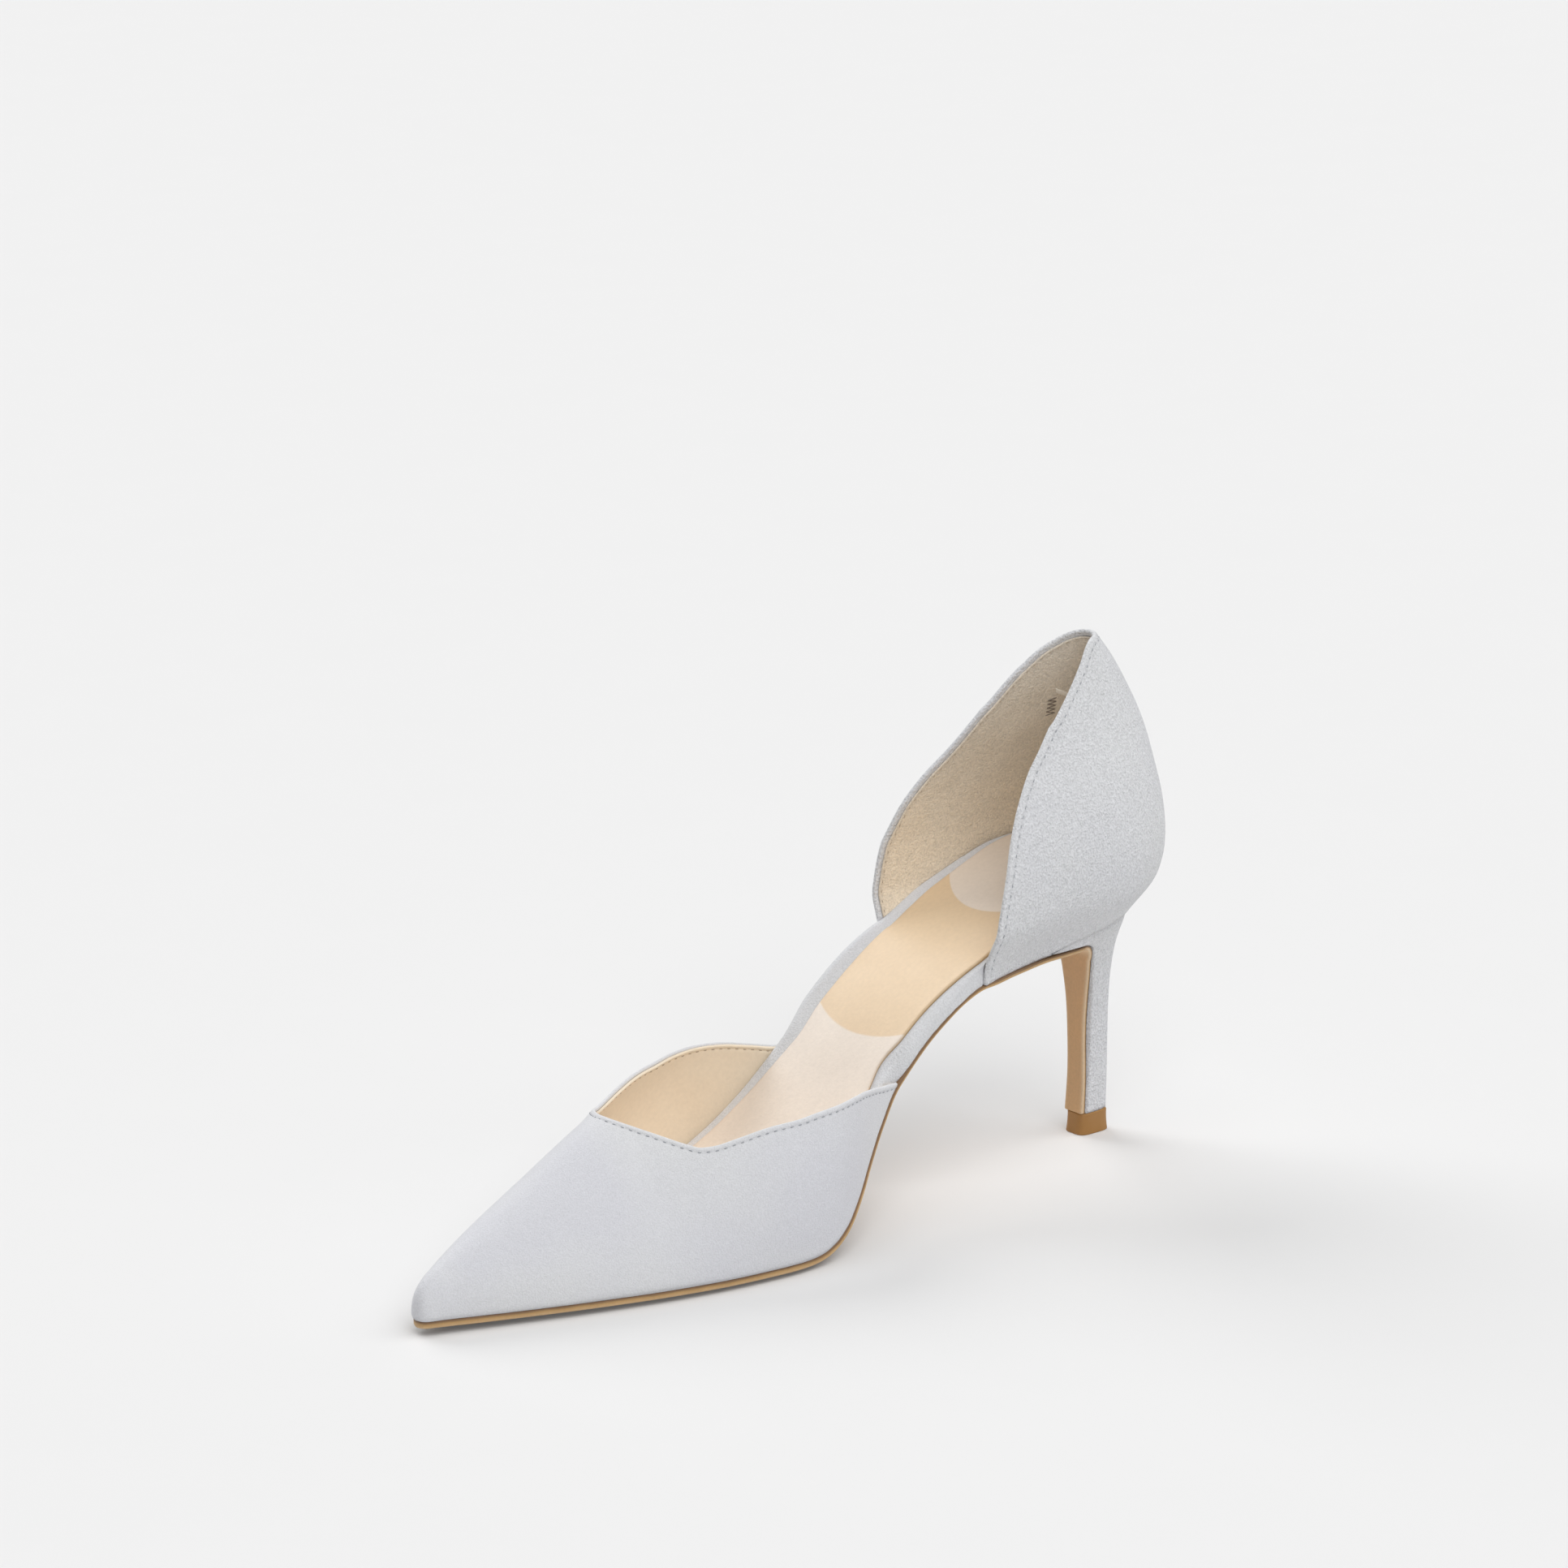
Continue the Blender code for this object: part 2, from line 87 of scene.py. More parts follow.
def step(x, low, high):  # smooth rise from 0 at low to 1 at high
    t = unit((np.asarray(x, float) - low) / (high - low))
    return t * t * (3 - 2 * t)


def bell(x, middle, width):  # soft bump of height 1
    return np.exp(-((np.asarray(x, float) - middle) / width) ** 2)


def toeAxis(x):  # the forepart's middle line: swing times the share of the way to the tip, to a power
    start = shoe["swingStart"]
    run = np.clip((np.asarray(x, float) - start) / (shoe["tipX"] - start), 0.0, None)
    return shoe["toeSwing"] * run ** shoe["swingPower"]


def soleTop(x):
    return curve(soleLine, "x", "top", x)


def soleHalf(x, side):
    return curve(soleLine, "x", sideName[side], x)


def tipHalf(x, side, tip):  # half width of the sole, which ends in a quarter ellipse from roundX to the tip
    x = np.asarray(x, float)
    start = shoe["roundX"]
    run = unit((x - start) / (tip - start))
    pointed = soleHalf(start, side) * np.sqrt(1 - run ** 2) * (1 - shoe["tipPinch"] * np.sin(math.pi * run))
    return np.where(x < start, soleHalf(x, side), pointed)


def ripple(points, length, seed, waves=6):  # sum of a few plane waves of about one length, between -1 and 1
    rng = np.random.default_rng(seed)
    way = rng.normal(size=(waves, 3))
    way /= np.linalg.norm(way, axis=1, keepdims=True) * length * rng.uniform(0.7, 1.5, (waves, 1))
    return np.sin(points @ way.T * 2 * math.pi + rng.uniform(0, 6.3, waves)).mean(-1) * 1.6


# Mesh making


def gridCells(rows, cols, ring=False):  # the four corners of each cell of a grid stored row by row
    i = np.arange(rows - 1)[:, None] * cols
    j = np.arange(cols if ring else cols - 1)[None, :]
    k = (j + 1) % cols
    return np.stack([i + j, i + k, i + cols + k, i + cols + j], -1).reshape(-1, 4)


def samePlaces(points):  # the first point at each place, and each point's place
    first, back = np.unique(np.round(points, 4), axis=0, return_index=True, return_inverse=True)[1:]
    return first, back.reshape(-1)


def weld(points, cells, fields):  # points at one place share a number; cells that lose two corners go
    first, back = samePlaces(points)
    cells = back[cells]
    lost = (cells == np.roll(cells, 1, 1)).sum(1)
    keep = (lost < 2) & (cells[:, 0] != cells[:, 2]) & (cells[:, 1] != cells[:, 3])
    return points[first], cells[keep], {k: v[first] for k, v in fields.items()}


def sheetNormals(points, cells):  # a point's normal is the sum of the crossed diagonals of its cells
    a, b, c, d = (points[cells[:, k]] for k in range(4))
    n = np.cross(c - a, d - b)
    total = np.zeros_like(points)
    for k in range(4):
        np.add.at(total, cells[:, k], n)
    return total / np.maximum(np.linalg.norm(total, axis=1, keepdims=True), 1e-12)


def thicken(points, cells, normals, outer, inner):
    # the sheet moved by outer and by inner along its normals, joined round its open edge
    n = len(points)
    sides = np.concatenate([np.stack([cells[:, k], cells[:, (k + 1) % 4]], 1) for k in range(4)])
    sides = sides[sides[:, 0] != sides[:, 1]]
    first, count = np.unique(np.sort(sides, 1), axis=0, return_index=True, return_counts=True)[1:]
    rim = sides[first[count == 1]]
    band = np.stack([rim[:, 1], rim[:, 0], rim[:, 0] + n, rim[:, 1] + n], 1)
    both = np.concatenate([points + normals * outer[:, None], points + normals * inner[:, None]])
    return both, np.concatenate([cells, cells[:, ::-1] + n, band])


def addPiece(name, points, cells, look, slot, node, fields=None):
    # a closed mesh facing outwards, riding on the shoe
    points, cells, fields = weld(points, cells, fields or {})
    a, b, c, d = (points[cells[:, k]] for k in range(4))
    if (np.cross(a, b) * c).sum() + (np.cross(a, c) * d).sum() < 0:
        cells = cells[:, ::-1]
    short = (cells == np.roll(cells, 1, 1)).any(1)
    faces = cells[~short].tolist() + [list(dict.fromkeys(f)) for f in cells[short].tolist()]
    mesh = bpy.data.meshes.new(name)
    mesh.from_pydata(((points - np.array(shoe["middle"])) * 0.001).tolist(), [], faces)
    mesh.polygons.foreach_set("use_smooth", np.ones(len(faces), bool))
    for key, value in fields.items():
        mesh.attributes.new(key, "FLOAT", "POINT").data.foreach_set("value", value.astype(np.float32))
    mesh.materials.append(look)
    piece = bpy.data.objects.new(name, mesh)
    bpy.context.scene.collection.objects.link(piece)
    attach(piece, "root")
    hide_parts(node)
    print(name, len(points), "points")


def addShell(name, points, cells, normals, outer, inner, look, slot, node, fields=None):
    # a sheet with its meeting halves joined, given two faces
    held = dict(fields or {}, normals=normals, outer=outer, inner=inner)
    points, cells, held = weld(points, cells, held)
    points, cells = thicken(points, cells, held.pop("normals"), held.pop("outer"), held.pop("inner"))
    addPiece(name, points, cells, look, slot, node, {k: np.tile(v, 2) for k, v in held.items()})


def capRings(rings, closeFirst=True):
    # stacked rings, closed by a fan to the middle of both end rings or of the last
    count, ring = rings.shape[:2]
    ends = np.stack([rings[0].mean(0) if closeFirst else rings[0, 0], rings[-1].mean(0)])
    j = np.arange(ring)
    k = (j + 1) % ring
    n = count * ring
    low = np.stack([k, j, np.full(ring, n), np.full(ring, n)], 1)
    high = np.stack([n - ring + j, n - ring + k, np.full(ring, n + 1), np.full(ring, n + 1)], 1)
    cells = [gridCells(count, ring, ring=True), low, high]
    return np.concatenate([rings.reshape(-1, 3), ends]), np.concatenate(cells if closeFirst else cells[::2])


def wayAlong(line):  # length along a line, or along each line of a stack, up to each of its points
    steps = np.linalg.norm(np.diff(line, axis=-2), axis=-1)
    return np.concatenate([np.zeros(steps.shape[:-1] + (1,)), np.cumsum(steps, -1)], -1)


def readAt(where, way, line):  # the line's points at given lengths along it
    return np.stack([np.interp(where, way, line[:, k]) for k in range(3)], -1)


def edgeDistance(points, line):
    # shortest way from each point to a line, over the two segments at its nearest corner
    best = np.full(len(points), 1e9)
    for part in np.array_split(np.arange(len(points)), len(points) // 3000 + 1):
        p = points[part]
        near = ((p[:, None, :] - line[None]) ** 2).sum(2).argmin(1)
        for back in (1, 0):
            i = np.clip(near - back, 0, len(line) - 2)
            a, ab = line[i], line[i + 1] - line[i]
            t = unit(((p - a) * ab).sum(1) / (ab ** 2).sum(1))
            best[part] = np.minimum(best[part], np.linalg.norm(p - a - t[:, None] * ab, axis=1))
    return best


def roundEdge(d, thick):  # how far a half-round edge draws each face in at a distance d from the edge
    radius = thick / 2
    e = unit(d / radius)
    return radius * (1 - np.sqrt(unit(1 - (1 - e) ** 2))) - 0.02 * (e < 0.02)


def hem(piece, d):  # half a sine wave swells from the edge to the stitches, which lie in a soft groove
    inset = piece["stitchInset"]
    swell = np.sin(math.pi * unit(d / inset))
    return piece["puff"] * swell - piece["groove"] * bell(d, inset, 0.35)


def suedeFields(d, foot, piece):  # what the nap reads: worn free edge, and painted shade at the stitched line and at the foot of the wall
    low = np.exp(-np.clip(foot, 0, None) / 0.35)
    return {"rim": np.exp(-d / piece["rimWidth"]), "seam": bell(d, piece["stitchInset"], 0.4), "foot": low}


def stitchRow(piece, line, normals, sink):
    # each stitch is a short tube along the line; its middle stands out of the leather and its ends dip in
    pitch, length, radius = piece["stitchPitch"], piece["stitchLength"], piece["stitchRadius"]
    way = wayAlong(line)
    at = np.arange(pitch * 0.7, way[-1] - pitch * 0.7, pitch)
    t = np.linspace(-1, 1, 7)[None, :, None]
    turn = np.linspace(0, 2 * math.pi, 7)[None, None, :-1]
    where = at[:, None] + t[:, :, 0] * length / 2
    spot, up = readAt(where, way, line), readAt(where, way, normals)
    along = readAt(at + 0.3, way, line) - readAt(at - 0.3, way, line)
    cross = np.cross(along[:, None, :], up)
    cross /= np.linalg.norm(cross, axis=-1, keepdims=True)
    body = radius * np.sqrt(unit(1 - t ** 4))
    rise = -sink + radius * (0.7 - 1.6 * t ** 2)
    points = spot[:, :, None, :] + up[:, :, None, :] * (rise + body * np.sin(turn))[..., None]
    points = points + cross[:, :, None, :] * (body * np.cos(turn))[..., None]
    one = gridCells(7, 6, ring=True)
    cells = (one[None] + (np.arange(len(at)) * 42)[:, None, None]).reshape(-1, 4)
    return points.reshape(-1, 3), cells


# Shader kit


def addNode(tree, kind, inputs=None, **settings):
    # a node with its settings, fed by values or by other nodes' sockets
    node = tree.nodes.new(kind)
    for key, value in settings.items():
        setattr(node, key, value)
    for key, value in (inputs or {}).items():
        if isinstance(value, bpy.types.NodeSocket):
            tree.links.new(value, node.inputs[key])
        else:
            node.inputs[key].default_value = value
    return node


def math2(tree, operation, a, b=0.0, c=0.0):
    return addNode(tree, "ShaderNodeMath", {0: a, 1: b, 2: c}, operation=operation).outputs[0]


def swing(tree, value, gain, base):  # a noise's way from its middle, times gain, plus base
    return math2(tree, "MULTIPLY_ADD", math2(tree, "SUBTRACT", value, 0.5), gain, base)


def clamped(tree, value):
    return addNode(tree, "ShaderNodeClamp", {0: value}).outputs[0]


def mixColour(tree, share, a, b, blend="MIX"):
    inputs = {0: share, 6: a, 7: b}
    return addNode(tree, "ShaderNodeMix", inputs, data_type="RGBA", blend_type=blend).outputs[2]


def scaled(tree, colour, tone):
    return addNode(tree, "ShaderNodeVectorMath", {0: colour, "Scale": tone}, operation="SCALE").outputs[0]


def objectSpot(tree):
    return addNode(tree, "ShaderNodeTexCoord").outputs["Object"]


def noise(tree, vector, scale, detail, rough, bend=0.0):
    inputs = {"Vector": vector, "Scale": scale, "Detail": detail, "Roughness": rough, "Distortion": bend}
    return addNode(tree, "ShaderNodeTexNoise", inputs).outputs["Fac"]


def field(tree, name):  # a piece's own painted value
    return addNode(tree, "ShaderNodeAttribute", attribute_name=name).outputs["Fac"]


def newGroup(name, inputs):  # an empty group with its inputs and the three outputs every look takes
    tree = bpy.data.node_groups.new(name, "ShaderNodeTree")
    for key, value in inputs.items():
        kind = "NodeSocketColor" if isinstance(value, tuple) else "NodeSocketFloat"
        tree.interface.new_socket(key, in_out="INPUT", socket_type=kind).default_value = value
    for key, kind in (("Colour", "Color"), ("Height", "Float"), ("Roughness", "Float")):
        tree.interface.new_socket(key, in_out="OUTPUT", socket_type="NodeSocket" + kind)
    return tree, addNode(tree, "NodeGroupInput").outputs, addNode(tree, "NodeGroupOutput").inputs


def fill(tree, give, colour, height, roughness):  # a group's three outputs
    for key, value in (("Colour", colour), ("Height", height), ("Roughness", roughness)):
        tree.links.new(value, give[key])
    return tree


def suedeGroup():
    # nap: fine fibres and tufts brighten and darken the colour, broad patches lean it to a second colour;
    # the rim field leans it to the edge colour, as worn nap at a free edge and as a painted highlight on the
    # insole's roll; painted shade darkens the stitched line and the foot of the wall
    tree, take, give = newGroup("suede nap", {
        "Colour": (0.6, 0.6, 0.6, 1), "Patch Colour": (0.5, 0.5, 0.6, 1), "Edge Colour": (0.7, 0.7, 0.7, 1),
        "Fibre Scale": 2300.0, "Tuft Scale": 1000.0, "Patch Scale": 24.0, "Contrast": 0.5, "Patchiness": 0.8,
        "Tuft Share": 0.2,
    })
    spot = objectSpot(tree)
    fibre = noise(tree, spot, take["Fibre Scale"], 1.0, 0.5)
    tuft = noise(tree, spot, take["Tuft Scale"], 1.0, 0.5, 0.3)
    patch = noise(tree, spot, take["Patch Scale"], 2.0, 0.45, 0.4)
    speck = addNode(tree, "ShaderNodeMix", {0: take["Tuft Share"], 2: fibre, 3: tuft}).outputs[0]
    lean = clamped(tree, math2(tree, "MULTIPLY", swing(tree, patch, 3.2, 0.5), take["Patchiness"]))
    colour = mixColour(tree, lean, take["Colour"], take["Patch Colour"])
    # rim: worn nap at free edges, a painted highlight on the insole's roll
    colour = mixColour(tree, math2(tree, "MULTIPLY", field(tree, "rim"), 0.5), colour, take["Edge Colour"])
    # painted shade: darker at the foot of the wall and along the stitched line
    foot = math2(tree, "MULTIPLY", field(tree, "foot"), 0.12)
    dark = math2(tree, "MULTIPLY_ADD", field(tree, "seam"), 0.08, foot)
    tone = swing(tree, speck, take["Contrast"], 1.0)
    tone = math2(tree, "MULTIPLY", tone, math2(tree, "SUBTRACT", 1.0, dark))
    rough = math2(tree, "MULTIPLY_ADD", speck, 0.2, 0.8)
    return fill(tree, give, scaled(tree, colour, tone), speck, rough)


def hideGroup():
    # smooth leather: shallow pores and wrinkles, with a slow drift of colour
    tree, take, give = newGroup("smooth hide", {
        "Colour": (0.7, 0.6, 0.45, 1), "Drift Colour": (0.6, 0.5, 0.36, 1), "Pore Scale": 1600.0,
        "Drift Scale": 40.0, "Drift": 0.6,
    })
    spot = objectSpot(tree)
    pores = {"Vector": spot, "Scale": take["Pore Scale"]}
    cell = addNode(tree, "ShaderNodeTexVoronoi", pores, feature="SMOOTH_F1").outputs["Distance"]
    drift = noise(tree, spot, take["Drift Scale"], 3.0, 0.55, 0.8)
    fine = noise(tree, spot, 900.0, 2.0, 0.5)
    lean = clamped(tree, math2(tree, "MULTIPLY", swing(tree, drift, 3.0, 0.5), take["Drift"]))
    colour = mixColour(tree, lean, take["Colour"], take["Drift Colour"])
    height = math2(tree, "MULTIPLY_ADD", fine, 0.5, cell)
    rough = math2(tree, "MULTIPLY_ADD", drift, 0.25, 0.32)
    return fill(tree, give, scaled(tree, colour, swing(tree, fine, 0.12, 1.0)), height, rough)


suedeNap = suedeGroup()
smoothHide = hideGroup()


def newLook(name):  # a material with its shader
    look = bpy.data.materials.new(name)
    look.use_nodes = True
    return look, look.node_tree, look.node_tree.nodes["Principled BSDF"]


def wire(tree, shader, colour, roughness, height, depth, strength):  # bump depth in metres
    tree.links.new(colour, shader.inputs["Base Color"])
    tree.links.new(roughness, shader.inputs["Roughness"])
    inputs = {"Height": height, "Distance": depth, "Strength": strength}
    tree.links.new(addNode(tree, "ShaderNodeBump", inputs).outputs[0], shader.inputs["Normal"])


def groupLook(name, group, values, depth, strength, sheen=0.0):  # a material fed by a group
    look, tree, shader = newLook(name)
    node = addNode(tree, "ShaderNodeGroup", values, node_tree=group)
    wire(tree, shader, *(node.outputs[k] for k in ("Colour", "Roughness", "Height")), depth, strength)
    shader.inputs["Sheen Weight"].default_value = sheen
    return look, tree, node


def suede(name, depth, strength, contrast, patchiness, fibre=2300.0):  # grey suede at one strength of nap
    values = {
        "Colour": (0.735, 0.741, 0.757, 1), "Patch Colour": (0.690, 0.694, 0.735, 1),
        "Edge Colour": (0.745, 0.750, 0.762, 1),
        "Contrast": contrast, "Patchiness": patchiness, "Fibre Scale": fibre,
    }
    return groupLook(name, suedeNap, values, depth, strength, 0.15)[0]


def hide(name, colour, drift, depth, strength, pore=1600.0, share=0.6):
    # leather or thread in a drifting colour
    values = {"Colour": (*colour, 1), "Drift Colour": (*drift, 1), "Pore Scale": pore, "Drift": share}
    return groupLook(name, smoothHide, values, depth, strength)[0]


# Quarter: the wall around the heel, one sheet from the seat up to its free edge

quarter = {
    "wall": columns(
        "z back half splay",
        (53.0, 13.2, 12.6, 0.34), (57.0, 11.6, 14.2, 0.29), (60.0, 10.0, 16.2, 0.25),
        (63.0, 7.6, 18.9, 0.20), (67.0, 3.9, 21.5, 0.17), (72.0, 1.6, 23.0, 0.12), (79.0, 0.6, 23.5, 0.08),
        (88.0, 1.1, 22.3, 0.04), (97.5, 2.8, 19.6, 0.03), (107.0, 5.0, 16.0, 0.03),
        (117.0, 9.3, 12.8, 0.02), (127.0, 15.3, 10.2, 0.02), (134.0, 20.8, 8.6, 0.02),
    ),
    "rimNear": columns(
        "place z",
        (0.0, 132.8), (0.25, 132.6), (0.5, 131.6), (0.6, 130.1), (0.71, 127.2), (0.84, 122.5), (0.93, 118.2),
        (1.0, 114.2), (1.09, 109.2), (1.19, 104.2), (1.255, 100.0), (1.32, 94.9), (1.375, 89.3),
        (1.435, 81.2),
    ),
    "rimFar": columns(
        "place z",
        (0.0, 132.8), (0.25, 132.2), (0.5, 130.3), (0.75, 125.9), (0.9, 120.3), (1.03, 111.7), (1.15, 103.9),
        (1.27, 96.9), (1.36, 89.9), (1.435, 80.7),
    ),
    "seat": columns(
        "x z",
        (8.0, 59.7), (17.0, 59.1), (24.0, 58.4), (30.0, 57.5), (38.0, 56.1), (42.0, 55.05), (45.0, 54.4),
        (50.0, 54.2), (54.0, 54.3), (62.0, 54.5), (76.0, 54.4),
    ),
    "wingStart": 45.0, "wingRun": 56.0, "roundPower": 2.3,  # place 0 back, 1 wing start, 2 a run further
    "frontFoot": 1.505, "frontBow": 1.5, "frontBulge": 0.022,
    "suede": 1.25, "lining": 0.6, "liningEdge": 1.3,  # thicknesses, and the lining's step below the edge
    "stitchInset": 1.9, "stitchPitch": 2.55, "stitchLength": 1.1, "stitchRadius": 0.11,
    "groove": 0.11, "puff": 0.05, "drop": 0.42, "rimWidth": 1.0, "sway": 0.16, "rub": 0.10,
    "columns": 130, "rows": 96,
}
lining = {"warm": (0.89, 0.765, 0.60, 1), "grey": (0.80, 0.735, 0.645, 1), "greyFrom": 84.0, "greyTo": 118.0}
tack = {
    "place": 0.635, "z": 110.8, "rise": 2.4, "reach": 0.028, "turns": 4.5, "thread": 0.17,
    "loopPlace": 0.555, "loopZ": 114.3, "loopReach": 0.045, "loopRise": 1.0, "loopHalf": 0.75,
    "loopThick": 0.6,
}


def quarterWall(place, z, inset=0.0):
    # round of the heel as a superellipse by place, then a wing that splays as it runs forward
    place, z = np.asarray(place, float), np.asarray(z, float)
    wall, start = quarter["wall"], quarter["wingStart"]
    back = curve(wall, "z", "back", z) + inset
    half = curve(wall, "z", "half", z) - inset
    angle = unit(place) * rightAngle
    e = 2.0 / quarter["roundPower"]
    ahead = np.clip(place - 1.0, 0.0, None) * quarter["wingRun"]
    x = np.where(place <= 1.0, start - (start - back) * unit(np.cos(angle)) ** e, start + ahead)
    y = half * np.sin(angle) ** e + curve(wall, "z", "splay", z) * ahead ** 2 / (ahead + 4.0)
    return np.stack([x, y, z + 0.0 * x], -1)


def seatHeight(x):
    return curve(quarter["seat"], "x", "z", x)


def seatLine(place):  # height of the wall's lower edge: the seat curve read where the wall stands
    z = np.full(np.shape(place), 57.0)
    for turn in range(6):
        z = seatHeight(quarterWall(place, z)[..., 0])
    return z


def quarterEdge(count, side):
    # free edge of one side at even steps: down the rim from the top of the back, then down the front
    rim = quarter["rimNear" if side > 0 else "rimFar"]
    endPlace, endZ = rim["place"][-1], rim["z"][-1]
    foot = quarter["frontFoot"]
    footZ = float(seatLine(np.array([foot]))[0])
    share = np.linspace(1.0, 0.03, 200)[1:]
    rimPlace = np.linspace(0.0, endPlace, 500)
    bulge = quarter["frontBulge"] * (side > 0) * np.sin(math.pi * share)
    place = np.concatenate([rimPlace, foot + (endPlace - foot) * share ** quarter["frontBow"] + bulge])
    z = np.concatenate([curve(rim, "place", "z", rimPlace), footZ + share * (endZ - footZ)])
    way = wayAlong(quarterWall(place, z))
    even = np.linspace(0.0, way[-1], count)
    return np.interp(even, way, place), np.interp(even, way, z)


def quarterGrid(reachNear, reachFar):
    # lines from the seat to the free edge, close together near the edge; reach shortens each line
    n, m = quarter["columns"], quarter["rows"]
    seatPlace = quarter["frontFoot"] * np.linspace(0.0, 1.0, n)
    seatZ = seatLine(seatPlace) - quarter["drop"]
    q = np.linspace(1.0, 0.0, m)
    halves = []
    for side, reach in ((1, reachNear), (-1, reachFar)):
        edgePlace, edgeZ = quarterEdge(n, side)
        f = (1 - 0.12 * q - 0.88 * q ** 2.6)[None, :] * reach[:, None]
        place = seatPlace[:, None] + (edgePlace - seatPlace)[:, None] * f
        z = seatZ[:, None] + (edgeZ - seatZ)[:, None] * f
        halves.append(quarterWall(place, z) * np.array([1.0, side, 1.0]))
    return np.concatenate([halves[1][:0:-1], halves[0]])


def reachTo(grid, distance, limit):
    # share of each line at which it is still limit away from the edge, for the near half and the far half
    n = (len(grid) + 1) // 2
    out = []
    for half, d in ((grid[n - 1:], distance[n - 1:]), (grid[n - 1::-1], distance[n - 1::-1])):
        way = wayAlong(half)
        share = way / way[:, -1:]
        out.append(np.array([np.interp(-limit, -d[i], share[i]) for i in range(n)]))
    return out


def lineAt(grid, normals, distance, limit):  # the points of each line that are limit away from the edge
    use = distance.max(1) > limit + 0.2
    g, n, d = grid[use], normals[use], distance[use]
    j = np.array([np.searchsorted(-row, -limit) for row in d])
    j = np.clip(j, 1, g.shape[1] - 1)
    i = np.arange(len(g))
    t = ((d[i, j - 1] - limit) / np.maximum(d[i, j - 1] - d[i, j], 1e-6))[:, None]
    return g[i, j - 1] * (1 - t) + g[i, j] * t, n[i, j - 1] * (1 - t) + n[i, j] * t


def liningSuede():  # the nap's colour drifts from warm at the seat to grey at the top
    look, tree, node = groupLook("lining suede", suedeNap, {
        "Patch Colour": (0.80, 0.71, 0.585, 1), "Edge Colour": (0.72, 0.62, 0.50, 1), "Fibre Scale": 2000.0,
        "Tuft Scale": 900.0, "Tuft Share": 0.3, "Contrast": 0.75, "Patchiness": 0.7,
    }, 0.0009, 0.5, 0.12)
    colour = mixColour(tree, field(tree, "high"), lining["warm"], lining["grey"])
    tree.links.new(colour, node.inputs["Colour"])
    return look


def thread(name, colour, drift):  # twisted thread: fine pores and a slow change of shade
    return hide(name, colour, drift, 0.0001, 0.4, pore=5000.0)


quarterLook = suede("quarter suede", 0.001, 0.65, contrast=0.7, patchiness=0.6, fibre=1800.0)
liningSuedeLook = liningSuede()
threadLook = thread("thread", (0.39, 0.405, 0.435), (0.32, 0.335, 0.37))
liningThreadLook = thread("lining thread", (0.50, 0.40, 0.29), (0.41, 0.325, 0.23))
tackThreadLook = thread("tack thread", (0.27, 0.23, 0.19), (0.21, 0.18, 0.15))
loopLook = hide("loop leather", (0.97, 0.93, 0.85), (0.94, 0.86, 0.74), 0.00008, 0.35, share=0.5)


def tube(path, up, radius, sides=8):  # rings of a round thread along a path, each ring across the path's way
    way = np.gradient(path, axis=0)
    cross = np.cross(way, up)
    cross /= np.linalg.norm(cross, axis=1, keepdims=True)
    rise = np.cross(cross, way)
    rise /= np.linalg.norm(rise, axis=1, keepdims=True)
    turn = np.linspace(0.0, 2 * math.pi, sides + 1)[:-1, None]
    count = np.arange(len(path))
    taper = radius * unit(np.minimum(count, count[::-1]) / 3.0 + 0.3)
    around = cross[:, None, :] * np.cos(turn) + rise[:, None, :] * np.sin(turn)
    return path[:, None, :] + taper[:, None, None] * around


def innerFar(place, z, depth):  # a point on the far half of the lining's face, raised by depth
    spot = quarterWall(place, z, quarter["suede"] + quarter["lining"] + depth)
    return spot * np.array([1.0, -1.0, 1.0])


def buildTack():
    # zigzag bar that anchors a loop: a triangle wave up the wall, with the loop's end as a flat pillow
    t = np.linspace(0.0, 1.0, 90)
    wave = 2 * np.abs((t * tack["turns"]) % 1.0 - 0.5) * 2 - 1
    place = tack["place"] + tack["reach"] * wave - 0.02 * (t - 0.5)
    z = tack["z"] + tack["rise"] * (t - 0.5) * 2
    up = innerFar(place, z, 1.0) - innerFar(place, z, 0.0)
    points, cells = capRings(tube(innerFar(place, z, 0.18), up, tack["thread"]))
    addPiece("quarter_bartack", points, cells, tackThreadLook, "thread", "quarter")

    rows, cols = 41, 21
    u, v = np.meshgrid(np.linspace(-1, 1, rows), np.linspace(-1, 1, cols), indexing="ij")
    u, v = u.reshape(-1), v.reshape(-1)
    place = tack["loopPlace"] + tack["loopReach"] * u
    z = tack["loopZ"] + tack["loopRise"] * u + tack["loopHalf"] * v
    crown = np.sqrt(unit(1 - v ** 4)) * np.sqrt(unit(1 - u ** 8))
    rest = innerFar(place, z, 0.02)
    up = innerFar(place, z, 1.02) - rest
    thick = tack["loopThick"] * crown + 0.03
    look = loopLook, "lining", "quarter"
    addShell("quarter_loop_end", rest, gridCells(rows, cols), up, thick, 0 * u, *look)


def addLining(name, piece, points, cells, normals, d, more, look, fields=None):
    # a sheet a gap inside the suede, with a half-round edge; more is added to its open face
    draw, back = roundEdge(d, piece["lining"]), -piece["suede"] - shoe["liningGap"]
    outer, inner = back - draw, back - piece["lining"] + draw + more
    addShell(name + "_lining", points, cells, normals, outer, inner, look, "lining", name, fields)


def addStitches(name, piece, line, up, depth, sink):
    # one row in the suede's groove, and one on the lining, depth below it
    sewn = stitchRow(piece, line, up, piece["groove"] - 0.02)
    addPiece(name + "_stitches", *sewn, threadLook, "thread", name)
    sewn = stitchRow(piece, line - up * depth, -up, sink)
    addPiece(name + "_lining_stitches", *sewn, liningThreadLook, "thread", name)


